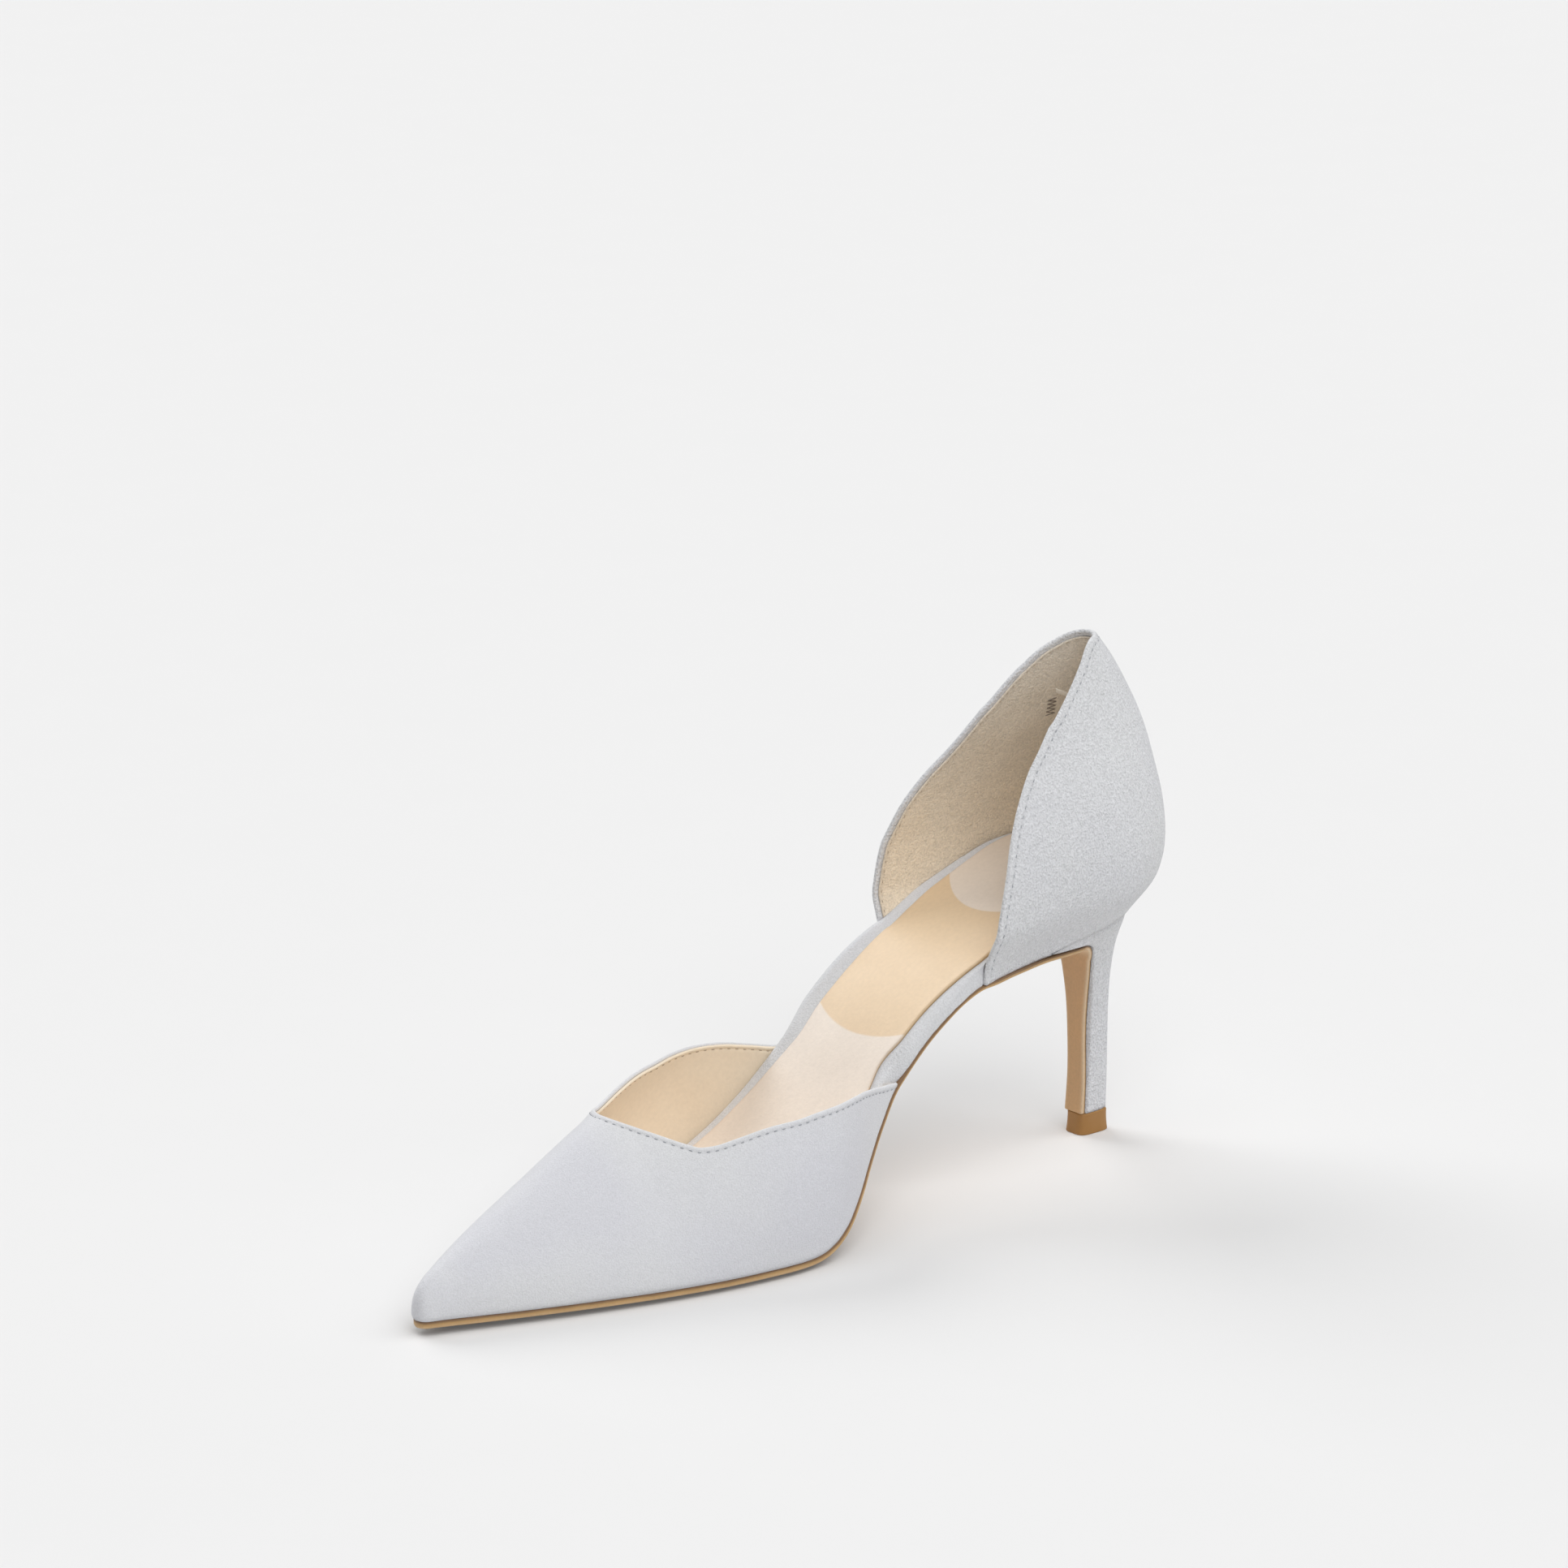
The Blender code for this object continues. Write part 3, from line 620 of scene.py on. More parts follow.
def buildQuarter():
    # suede drawn in to a half-round edge, swaying slowly and tucked in at its foot, then lining and stitches
    n, m = quarter["columns"] * 2 - 1, quarter["rows"]
    grid = quarterGrid(*np.ones((2, quarter["columns"])))
    points, cells = grid.reshape(-1, 3), gridCells(n, m)
    d = edgeDistance(points, grid[:, -1])
    normals = sheetNormals(points, cells)
    outward = np.sign((normals[:, 1] * points[:, 1]).sum())
    normals = normals * outward
    foot = points[:, 2] - np.repeat(grid[:, 0, 2], m)
    inset, thick = quarter["stitchInset"], quarter["suede"]
    draw = roundEdge(d, thick)
    sway = quarter["sway"] * ripple(points, 22.0, 3) * step(d, 0.5, 8.0)
    tuck = 0.16 * (1 - step(foot, -0.2, 0.7)) + 0.05 * ripple(points, 2.2, 5) * bell(foot, 0.0, 1.0)
    outer, inner = -draw + hem(quarter, d) + sway - tuck, -thick + draw
    look = quarterLook, "quarter_suede", "quarter"
    addShell("quarter_suede", points, cells, normals, outer, inner, *look, suedeFields(d, foot, quarter))

    distance = d.reshape(n, m)
    lineGrid = quarterGrid(*reachTo(grid, distance, quarter["liningEdge"]))
    linePoints = lineGrid.reshape(-1, 3)
    lineNormals = sheetNormals(linePoints, cells) * outward
    lineD = edgeDistance(linePoints, lineGrid[:, -1])
    rub = quarter["rub"] * ripple(linePoints, 9.0, 8) * step(lineD, 0.3, 4.0)
    # painted shade on the lining: along its stitches and deep down at the seat
    fields = {
        "rim": np.exp(-lineD / 0.6), "seam": bell(lineD, inset - quarter["liningEdge"], 0.5),
        "foot": np.exp(-foot / 2.0), "high": step(linePoints[:, 2], lining["greyFrom"], lining["greyTo"]),
    }
    addLining("quarter", quarter, linePoints, cells, lineNormals, lineD, rub, liningSuedeLook, fields)

    line, up = lineAt(grid, normals.reshape(n, m, 3), distance, inset)
    addStitches("quarter", quarter, line, up, thick + quarter["lining"], 0.02)


buildQuarter()
buildTack()

# Vamp: arched sections from the wings to the toe, open along the top line

vamp = {
    "arch": columns(
        "x crest power",
        (100.0, 64.0, 4.0), (113.0, 60.0, 3.7), (130.0, 55.0, 3.0), (149.0, 49.0, 2.3), (163.5, 44.0, 1.85),
        (172.0, 40.6, 1.65), (180.0, 37.1, 1.55), (200.0, 27.4, 1.66), (220.0, 18.0, 1.9),
        (232.0, 12.3, 2.1), (236.0, 10.2, 2.2), (238.0, 8.8, 2.2), (239.2, 7.5, 2.2), (239.9, 6.2, 2.2),
        (240.25, 5.0, 2.2), (240.4, 3.8, 2.2),
    ),
    "topline": columns(
        "x height",
        (101.0, 1.0), (106.0, 7.0), (113.0, 15.7), (121.0, 24.6), (130.0, 31.5), (139.0, 34.3),
        (149.2, 33.7), (157.0, 32.1), (163.0, 30.9), (165.6, 30.8), (168.0, 31.6), (173.0, 33.9),
        (180.0, 37.1),
    ),
    "throatX": 180.0, "wingX": 101.0, "overhang": 0.4,
    "suede": 0.95, "lining": 0.6, "liningEdge": 0.35, "liningEndX": 229.0,
    "stitchInset": 1.4, "stitchPitch": 2.2, "stitchLength": 1.15, "stitchRadius": 0.11,
    "groove": 0.1, "puff": 0.06, "drop": 0.17, "rimWidth": 0.9, "sway": 0.14, "roll": 0.12, "dip": 0.1,
    "columns": 76,
}


def vampSections(xs, side, reach):
    # each section is a superellipse cut at the top line or crest, with points by share of its length
    crest, power = (curve(vamp["arch"], "x", k, xs)[:, None] for k in ("crest", "power"))
    height = curve(vamp["topline"], "x", "height", xs)[:, None]
    cut = np.arcsin(unit(height / crest) ** (power / 2))
    limit = np.where(xs[:, None] < vamp["throatX"] - 0.001, cut, rightAngle)
    angle = limit * (0.5 - 0.5 * np.cos(np.linspace(0.0, math.pi, 500)))[None, :]
    half = (tipHalf(xs, side, shoe["tipX"]) + vamp["overhang"]) * (xs < shoe["tipX"] - 0.001)
    y = half[:, None] * unit(np.cos(angle)) ** (2 / power)
    z = crest * np.sin(angle) ** (2 / power)
    way = wayAlong(np.stack([y, z], -1))
    q = np.linspace(1.0, 0.0, vamp["columns"])
    at = (1 - 0.22 * q - 0.78 * q ** 2.1)[None, :] * reach[:, None] * way[:, -1:]
    y, z = (np.array([np.interp(*row) for row in zip(at, way, v)]) for v in (y, z))
    base = soleTop(xs) + shoe["clear"] - vamp["drop"]
    out = np.empty(at.shape + (3,))
    out[..., 0] = xs[:, None]
    out[..., 1] = toeAxis(xs)[:, None] + side * y
    out[..., 2] = base[:, None] + z
    return out


def vampStations():  # closer together at the wings, the throat and the toe
    throat, tip = vamp["throatX"], shoe["tipX"]
    return np.unique(np.round(np.concatenate([
        np.linspace(vamp["wingX"], 112.0, 30), np.linspace(112.0, 160.0, 56), np.linspace(160.0, 176.0, 26),
        np.linspace(176.0, throat + 4.0, 49), np.linspace(throat + 4.0, 230.0, 44),
        tip - 10.4 * (1 - np.linspace(0, 1, 26)) ** 2,
    ]), 4))


def vampSheet(xs, reachNear, reachFar):  # near and far halves, which share the crest ahead of the throat
    halves = np.stack([vampSections(xs, 1, reachNear), vampSections(xs, -1, reachFar)])
    n, m = halves.shape[1:3]
    return halves, np.concatenate([gridCells(n, m), gridCells(n, m)[:, ::-1] + n * m])


def joinedNormals(points, cells):
    # normals of a sheet whose halves meet, with the same value on both sides of the join
    first, back = samePlaces(points)
    normals = sheetNormals(points[first], back[cells])[back]
    return normals * np.sign((normals[:, 2] * (points[:, 2] > 20)).sum())


def rowReach(half, distance, limit):
    # share of each section at which it is still limit away from the top line
    way = wayAlong(half)
    share = way / np.maximum(way[:, -1:], 1e-6)
    last = distance.shape[1] - 1 - np.argmax(distance[:, ::-1] >= limit, 1)
    held = np.where(distance.max(1) >= limit, share[np.arange(len(share)), last], 0.15)
    return np.where(distance[:, -1] < limit, held, 1.0)


vampLook = suede("vamp suede", 0.0005, 0.34, contrast=0.32, patchiness=1.0, fibre=2700.0)
liningHideLook = hide("lining leather", (0.95, 0.83, 0.66), (0.92, 0.785, 0.61), 0.00008, 0.35, share=0.8)


def buildVamp():
    # as the quarter, with the suede thinner towards the toe and the lining rolled over its own edge
    xs = vampStations()
    ones = np.ones(len(xs))
    halves, cells = vampSheet(xs, ones, ones)
    n, m = halves.shape[1:3]
    points = halves.reshape(-1, 3)
    isOpen = xs <= vamp["throatX"] + 0.0005
    topline = np.concatenate([halves[0, isOpen, -1], halves[1, isOpen, -1][::-1][1:]])
    d = edgeDistance(points, topline)
    normals = joinedNormals(points, cells)
    foot = points[:, 2] - np.tile(np.repeat(soleTop(xs) + shoe["clear"], m), 2)
    inset, thick = vamp["stitchInset"], vamp["suede"]
    thin = np.minimum(thick, 0.1 + 0.35 * tipHalf(xs, 1, shoe["tipX"]))
    draw = roundEdge(d, thick)
    sway = vamp["sway"] * ripple(points, 30.0, 11) * step(d, 0.5, 8.0) * step(foot, 1.0, 8.0)
    tuck = 0.3 * (1 - step(foot, -0.2, 0.9)) + 0.04 * ripple(points, 2.4, 12) * bell(foot, 0.0, 1.0)
    outer, inner = -draw + hem(vamp, d) + sway - tuck, draw - np.tile(np.repeat(thin, m), 2)
    look = vampLook, "vamp_suede", "vamp"
    addShell("vamp_suede", points, cells, normals, outer, inner, *look, suedeFields(d, foot, vamp))

    distance = d.reshape(2, n, m)
    lined = xs <= vamp["liningEndX"]
    edge, sewnAt = vamp["liningEdge"], inset - vamp["liningEdge"]
    reach = (rowReach(halves[k], distance[k], edge)[lined] for k in range(2))
    lineHalves, cells = vampSheet(xs[lined], *reach)
    linePoints = lineHalves.reshape(-1, 3)
    lineD = np.maximum(edgeDistance(linePoints, topline) - edge, 0.0)
    roll = vamp["roll"] * np.sin(math.pi * unit(lineD / sewnAt))
    dip = vamp["dip"] * bell(lineD, sewnAt, 0.35)
    lineNormals = joinedNormals(linePoints, cells)
    addLining("vamp", vamp, linePoints, cells, lineNormals, lineD, dip - roll, liningHideLook)

    ups = normals.reshape(2, n, m, 3)
    lines = []
    for k in range(2):
        close = distance[k].min(1) < inset
        lines.append(lineAt(halves[k][close], ups[k][close], distance[k][close], inset))
    line, up = (np.concatenate([lines[0][k], lines[1][k][::-1]]) for k in range(2))
    keep = np.concatenate([[True], np.linalg.norm(np.diff(line, axis=0), axis=1) > 1e-4])
    line, up = line[keep], up[keep]
    addStitches("vamp", vamp, line, up, thick + vamp["lining"] + shoe["liningGap"], 0.1)


buildVamp()

# Insole: padded board wrapped in suede, seen along the waist and round the sock

insole = {
    "top": columns(
        "x z",
        (10.0, 78.2), (20.0, 76.7), (30.0, 75.1), (38.0, 73.5), (46.0, 71.0), (54.0, 67.9), (62.0, 64.6),
        (70.0, 60.8), (78.0, 57.0), (86.0, 52.2), (94.0, 46.2), (102.0, 39.2), (110.0, 31.4), (118.0, 23.4),
        (126.0, 16.2), (134.0, 10.8), (142.0, 7.8), (150.0, 6.8), (165.0, 6.4), (230.0, 6.6),
    ),
    "toeX": 226.0, "inWall": 2.2, "inVamp": 1.8,  # gaps to the quarter's and vamp's outer faces
    "rollTop": 2.2, "rollFoot": 0.35, "rollPower": 2.6, "pucker": 0.05, "recess": 1.0, "lift": 0.06,
    "sockIn": columns(  # from the end of the roll to the sock's edge
        "x near far",
        (4.0, 0.7, 0.7), (20.0, 0.7, 0.7), (36.0, 0.6, 1.6), (48.0, 0.5, 2.0), (60.0, 0.5, 2.2),
        (72.0, 0.3, 2.4), (78.0, 0.3, 2.8), (87.0, 0.3, 3.5), (98.0, 0.3, 3.6), (110.0, 0.8, 2.7),
        (125.0, 1.6, 2.1), (230.0, 2.0, 2.1),
    ),
    "farRise": columns(  # the far side of the waist stands higher
        "x rise",
        (4.0, 0.0), (18.0, 0.2), (34.0, 1.5), (50.0, 2.0), (62.0, 2.2), (72.0, 2.2), (82.0, 2.3),
        (92.0, 2.2), (100.0, 1.6), (112.0, 0.3), (120.0, 0.0),
    ),
}


def insoleTop(x):
    return curve(insole["top"], "x", "z", x)


def wayIn(x, side, inset, sockLine):  # how far inside the roll a line runs; the sock's edge adds its margin
    return inset + sockLine * curve(insole["sockIn"], "x", sideName[side], x)


def farLift(x, side, level, inward):  # rise of the far side, which fades towards the middle
    return (side < 0) * level * curve(insole["farRise"], "x", "rise", x) * (1 - step(inward, 0.0, 3.5))


def insoleWaist(level, inset, side, sockLine):
    # toe to wing start: the sole's half width less the roll, a superellipse by level, then the wall
    xs = np.unique(np.round(np.concatenate([
        insole["toeX"] - 8.0 * np.linspace(0.0, 1.0, 10) ** 2, np.linspace(218.0, 140.0, 40),
        np.linspace(140.0, 78.0, 100), np.linspace(78.0, 70.0, 25), np.linspace(70.0, 45.4, 26),
    ]), 3))[::-1]
    q, power = abs(2.0 * level - 1.0), insole["rollPower"]
    roll = insole["rollTop" if level > 0.5 else "rollFoot"] * (1 - (1 - q ** power) ** (1 / power))
    inward = wayIn(xs, side, inset, sockLine)
    low = np.maximum(soleTop(xs) + insole["lift"], seatHeight(xs) * (xs < 74))
    z = low + level * (insoleTop(xs) - low) + farLift(xs, side, level, inward)
    inVamp = step(xs, 96.0, 105.0)
    tuck = np.maximum(roll, insole["recess"] * (1 - step(xs, 73.5, 84.0)))
    fold = (np.sin(xs * 1.7) + np.sin(xs * 2.9 + side)) * (1 - level) * bell(level, 0.3, 0.4)
    body = soleHalf(np.maximum(xs, 73.0), side) + 0.2 - inVamp * insole["inVamp"] - tuck
    body = body - insole["pucker"] * (1 - inVamp) * fold
    toe = unit((insole["toeX"] - xs) / 14.0)
    body = np.maximum(body * np.sqrt(toe * (2 - toe)), 0.3)
    place = 1.0 + (xs - quarter["wingStart"]) / quarter["wingRun"]
    walled = quarterWall(place, np.clip(z, 53.0, 134.0), insole["inWall"])[..., 1]
    inside = walled + (np.minimum(walled, body) - walled) * step(xs, 58.0, 72.0)
    out = step(xs, 72.6, 73.6)
    half = np.maximum(inside * (1 - out) + body * out - inward, 0.3)
    return np.stack([xs, toeAxis(xs) + side * half, z], -1)


def insoleRound(level, inset, side, sockLine):
    # wing start to heel back: the wall moved in, with place and height found in a few turns
    places = np.linspace(1.0, 0.0, 40)
    z = seatLine(places)
    x = quarterWall(places, z, insole["inWall"])[:, 0]
    for turn in range(4):
        inward = wayIn(x, side, inset, sockLine)
        spot = quarterWall(places, z, insole["inWall"] + inward)
        x = spot[:, 0]
        low = seatHeight(x)
        z = low + level * (insoleTop(x) - low)
    return np.stack([x, side * spot[:, 1], z + farLift(x, side, level, inward)], -1)


def insoleRing(level, inset, sockLine=False):  # near and far outline from underside (0) to top (1)
    parts = insoleWaist, insoleRound
    return [np.concatenate([part(level, inset, side, sockLine) for part in parts]) for side in (1, -1)]


def ladder(levels):  # closed body between stacked outlines, capped by rungs from near side to far side
    rings = [np.concatenate([near, far[::-1][1:]]) for near, far in levels]
    n, ring = len(levels[0][0]), len(rings[0])
    cells = [gridCells(len(rings), ring, ring=True)]
    a = np.arange(n - 2)
    for base, flip in ((0, True), ((len(rings) - 1) * ring, False)):
        rung = np.stack([base + a, base + a + 1, base + ring - 2 - a, base + ring - 1 - a], 1)
        tip = np.array([[base + n - 2, base + n - 1, base + ring - n + 1, base + ring - n + 1]])
        cap = np.concatenate([rung, tip])
        cells.append(cap[:, ::-1] if flip else cap)
    return np.concatenate(rings), np.concatenate(cells)


insoleLook = suede("insole suede", 0.0006, 0.4, contrast=0.35, patchiness=0.6)


def buildInsole():
    # outlines up the roll at cosine steps, then lines further and further in on top
    around = 0.5 - 0.5 * np.cos(np.linspace(0.0, math.pi, 22))
    levels = [insoleRing(level, 0.0) for level in around]
    levels += [insoleRing(1.0, inward) for inward in (0.3, 0.8, 1.6, 3.0, 5.0)]
    points, cells = ladder(levels)
    height = np.repeat(np.concatenate([around, np.ones(5)]), len(points) // len(levels))
    # a painted highlight on the upper shoulder of the roll, and painted shade at its foot on the sole
    fields = {"rim": 0.5 * bell(height, 0.75, 0.12), "foot": np.exp(-height / 0.06)}
    addPiece("insole_wrap", points, cells, insoleLook, "insole_suede", "insole", fields)


buildInsole()

# Sock: thin leather on the insole, cream with a tan waist

sock = {
    "cream": (0.89, 0.785, 0.68, 1), "tan": (0.83, 0.63, 0.41, 1), "edge": (0.42, 0.27, 0.13, 1),
    "frontEdge": 99.5, "backEdge": 60.0, "bow": 0.012,  # ends of the waist colour, and their bow
    "border": 0.22, "sunk": 0.02, "rest": 0.4, "round": 0.45, "roundRun": 0.5, "crown": 0.15,
}


def sockMaterial():
    # grain of the smooth hide over two colours that meet in bowed lines, with a darker cut edge
    look, tree, shader = newLook("sock leather")
    white, dim = (1, 1, 1, 1), (0.93, 0.93, 0.94, 1)
    grain = {"Colour": white, "Drift Colour": dim, "Pore Scale": 1500.0, "Drift": 0.4}
    node = addNode(tree, "ShaderNodeGroup", grain, node_tree=smoothHide)
    along, across = field(tree, "along"), field(tree, "across")
    bow = math2(tree, "MULTIPLY", math2(tree, "MULTIPLY", across, across), sock["bow"])
    ahead = math2(tree, "SUBTRACT", math2(tree, "ADD", along, bow), sock["frontEdge"])
    behind = math2(tree, "SUBTRACT", sock["backEdge"], math2(tree, "MULTIPLY_ADD", bow, 2.0, along))
    panel = math2(tree, "MAXIMUM", ahead, behind)
    pale = addNode(tree, "ShaderNodeMapRange", {0: panel, 1: -0.2, 2: 0.2}).outputs[0]
    colour = mixColour(tree, pale, sock["tan"], sock["cream"])
    colour = mixColour(tree, math2(tree, "MULTIPLY", field(tree, "border"), 0.8), colour, sock["edge"])
    colour = mixColour(tree, 1.0, colour, node.outputs["Colour"], "MULTIPLY")
    wire(tree, shader, colour, node.outputs["Roughness"], node.outputs["Height"], 0.00006, 0.35)
    return look


def buildSock():
    # rungs from the near outline to the far one; the sheet rises in a round at its edge and crowns a little
    near, far = insoleRing(1.0, 0.0, True)
    even = np.linspace(0.0, 1.0, 61)
    w = ((0.5 - 0.5 * np.cos(math.pi * even)) * 0.6 + even * 0.4)[None, :, None]
    grid = near[:, None, :] * (1 - w) + far[:, None, :] * w
    points, cells = grid.reshape(-1, 3), gridCells(*grid.shape[:2])
    d = edgeDistance(points, np.concatenate([near, far[::-1][1:]]))
    e = unit(d / sock["roundRun"])
    rise = sock["rest"] + sock["round"] * np.sqrt(1 - (1 - e) ** 2) + sock["crown"] * step(d, 2.0, 12.0)
    up = np.tile([0.0, 0.0, 1.0], (len(points), 1))
    x, y = points[:, 0], points[:, 1]
    fields = {"along": x, "across": y - toeAxis(x), "border": np.exp(-d / sock["border"])}
    look = sockMaterial(), "sock", "sock_lining"
    addShell("sock_leather", points, cells, up, rise, 0 * d + sock["sunk"], *look, fields)


buildSock()

# Heel: a slim block covered in suede, flat at the breast and round at the back

heel = {
    "sections": columns(
        "zFront zBack front back half power",
        (5.1, 5.1, 25.15, 16.65, 3.5, 3.2), (15.0, 15.0, 24.3, 16.2, 3.4, 3.2),
        (25.0, 25.0, 24.0, 16.0, 3.6, 3.2), (34.0, 34.0, 23.9, 15.9, 4.1, 3.2),
        (41.0, 41.0, 24.1, 15.6, 4.9, 3.1), (46.0, 46.2, 24.5, 14.9, 5.7, 3.0),
        (49.4, 50.4, 25.3, 13.9, 6.7, 2.8), (51.8, 54.0, 27.0, 12.6, 8.3, 2.6),
        (53.1, 56.2, 30.5, 11.7, 10.2, 2.4), (53.6, 57.4, 34.0, 11.2, 11.4, 2.3),
        (53.9, 58.2, 41.0, 10.7, 12.4, 2.3), (54.4, 59.1, 45.0, 10.3, 13.3, 2.3),
    ),
    "seatBow": 1.6,
}


def heelGrid(levels, turns):
    # sections by height at the back: a superellipse from the back round to the breast, tilted to the seat
    names = "zFront", "front", "back", "half", "power"
    zFront, front, back, half, power = (curve(heel["sections"], "zBack", k, levels)[:, None] for k in names)
    angle = np.linspace(0.0, rightAngle, turns)[None, :]
    e = 2.0 / power
    x = front - (front - back) * unit(np.cos(angle)) ** e
    y = half * np.sin(angle) ** e
    along = unit((x - back) / (front - back))
    z = levels[:, None] + (zFront - levels[:, None]) * along ** heel["seatBow"]
    near = np.stack([x, y, z], -1)
    return np.concatenate([near, near[:, :0:-1] * np.array([1.0, -1.0, 1.0])], 1)


heelLook = suede("heel suede", 0.001, 0.7, contrast=0.75, patchiness=0.5, fibre=1800.0)


def buildHeel():
    # stacked sections, closer together at the flare, with painted shade darkening the nap at both ends
    bottom, top = heel["sections"]["zBack"][[0, -1]]
    levels = np.concatenate([np.linspace(bottom, 44.0, 60), np.linspace(44.5, top, 60)])
    rings = heelGrid(levels, 48)
    height = np.concatenate([np.repeat(levels, rings.shape[1]), [bottom, top]])
    # painted shade against the lift and at the top under the seat
    foot = np.exp(-(height - bottom) / 0.4) + 0.6 * np.exp(-(top - height) / 0.3)
    addPiece("heel_cover", *capRings(rings), heelLook, "heel_suede", "heel", {"foot": foot})


buildHeel()

# Lift: the plastic tip under the heel, with rounded edges

lift = {
    "top": 4.95, "power": 4.0, "bevel": 0.35, "pinch": 0.12,
    "low": (27.0, 17.0, 3.9), "high": (26.5, 17.1, 3.6),  # front, back and half width at both ends
    "dark": (0.35, 0.170, 0.042, 1), "pale": (0.415, 0.212, 0.066, 1), "worn": (0.53, 0.31, 0.12, 1),
}


def plasticMaterial():  # cloudy colour, paler where the edges are worn
    look, tree, shader = newLook("lift plastic")
    spot = objectSpot(tree)
    cloud = noise(tree, spot, 300.0, 3.0, 0.6)
    fine = noise(tree, spot, 2500.0, 2.0, 0.5)
    colour = mixColour(tree, cloud, lift["dark"], lift["pale"])
    colour = mixColour(tree, math2(tree, "MULTIPLY", field(tree, "rim"), 0.6), colour, lift["worn"])
    wire(tree, shader, colour, math2(tree, "MULTIPLY_ADD", cloud, 0.25, 0.34), fine, 0.00004, 0.3)
    return look


def rounded(turn, power):  # a circle's way across, squared off: its size to a power, with its sign
    return np.sign(turn) * np.abs(turn) ** (2.0 / power)


def buildLift():
    # superellipse sections from the floor up, drawn in by a quarter round at both ends and a little between
    bevel, tall = lift["bevel"], lift["top"] + shoe["stand"]
    turn = np.linspace(0.0, rightAngle, 6)
    middle = np.linspace(bevel, tall - bevel, 14)[1:-1]
    z = np.concatenate([bevel * (1 - np.cos(turn)), middle, tall - bevel * (1 - np.sin(turn))])
    draw = np.concatenate([bevel * (1 - np.sin(turn)), 0 * middle, bevel * (1 - np.cos(turn))])
    share = (z / tall)[:, None]
    front, back, half = (low + (high - low) * share for low, high in zip(lift["low"], lift["high"]))
    angle = np.linspace(0.0, 2 * math.pi, 97)[None, :-1]
    less = draw[:, None] + lift["pinch"] * np.sin(math.pi * share)
    x = (front + back) / 2 + ((front - back) / 2 - less) * rounded(np.cos(angle), lift["power"])
    y = (half - less) * rounded(np.sin(angle), lift["power"])
    rings = np.stack([x, y, z[:, None] - shoe["stand"] + 0 * x], -1)
    worn = np.concatenate([np.repeat(unit(draw / bevel), 96), [0.0, 0.0]])
    addPiece("lift_plastic", *capRings(rings), plasticMaterial(), "lift", "top_lift", {"rim": worn})


buildLift()

# Outsole: a thin strip under the forepart and waist that bends down over the heel breast

outsole = {
    "thick": 3.0, "waistThick": 1.35, "flapThick": 1.1, "edgeLift": 1.25, "bevel": 0.5,
    "turnRadius": 6.0, "turnX": 30.95, "turnZ": 52.72, "flapTop": 46.5, "flapCorner": 0.35,
    "flush": columns(  # to the upper
        "x more",
        (29.4, 1.5), (34.0, 1.1), (40.0, 0.5), (46.0, -0.2), (56.0, -0.5), (68.0, -0.5), (90.0, 0.0),
        (92.0, 0.0),
    ),
    # the dark edge colour is the glue line with painted shade, the pale one a painted highlight on the lower
    # bevel; the trim colour is the paler cut edge with a painted highlight, and the colour under the rim is
    # painted shade
    "edge": (0.52, 0.315, 0.13, 1), "edgeDark": (0.19, 0.105, 0.055, 1), "edgePale": (0.66, 0.46, 0.25, 1),
    "under": (0.63, 0.39, 0.195, 1), "trimAndHighlight": (0.72, 0.54, 0.355, 1), "underShadeColour": (0.19, 0.145, 0.11, 1),
}


def soleStrip():  # stations from the toe back, which lean with the slope of the sole's top
    x = np.concatenate([
        shoe["soleEndX"] - 8.0 * np.linspace(0.0, 1.0, 32) ** 2, np.linspace(231.0, 170.0, 50),
        np.linspace(169.0, 72.0, 110), np.linspace(71.2, outsole["turnX"], 44),
    ])
    top = soleTop(x)
    waist, flap = outsole["waistThick"], outsole["flapThick"]
    thick = flap + (waist - flap) * step(x, 56.0, 112.0) + (outsole["thick"] - waist) * step(x, 112.0, 140.0)
    more = curve(outsole["flush"], "x", "more", x)
    near, far = (tipHalf(x, side, shoe["soleEndX"]) + more for side in (1, -1))
    return np.stack([x, top, np.arctan(np.gradient(top, x)), near, far, toeAxis(x), thick], 1)


def soleBend():  # a quarter circle that narrows as it turns down
    turn = np.linspace(0.0, rightAngle, 19)[1:]
    r, share = outsole["turnRadius"], turn / rightAngle
    x, z = outsole["turnX"] - r * np.sin(turn), outsole["turnZ"] - r + r * np.cos(turn)
    near, far = 10.0 - 4.5 * share, 10.0 - 4.0 * share
    return np.stack([x, z, turn, near, far, 0 * turn, 0 * turn + outsole["flapThick"]], 1)


def soleFlap():  # down the heel's breast to the lift, with round corners at its end
    end, corner = lift["top"] + 0.12, outsole["flapCorner"]
    last = end + corner * (1 - np.sin(np.linspace(0.0, rightAngle, 12)[1:]))
    z = np.concatenate([np.linspace(outsole["flapTop"], end + corner, 60), last])
    x, half = (curve(heel["sections"], "zFront", k, z) for k in ("front", "half"))
    gone = unit((end + corner - z) / corner)
    half = half + 0.15 - corner * (1 - np.sqrt(1 - gone ** 2))
    margin = 0.3 + 0.8 * bell(z, 30.0, 14.0)  # suede left showing beside the near edge
    x = x + shoe["clear"]
    return np.stack([x, z, 0 * z + rightAngle, half - margin, half, 0 * z, 0 * z + outsole["flapThick"]], 1)


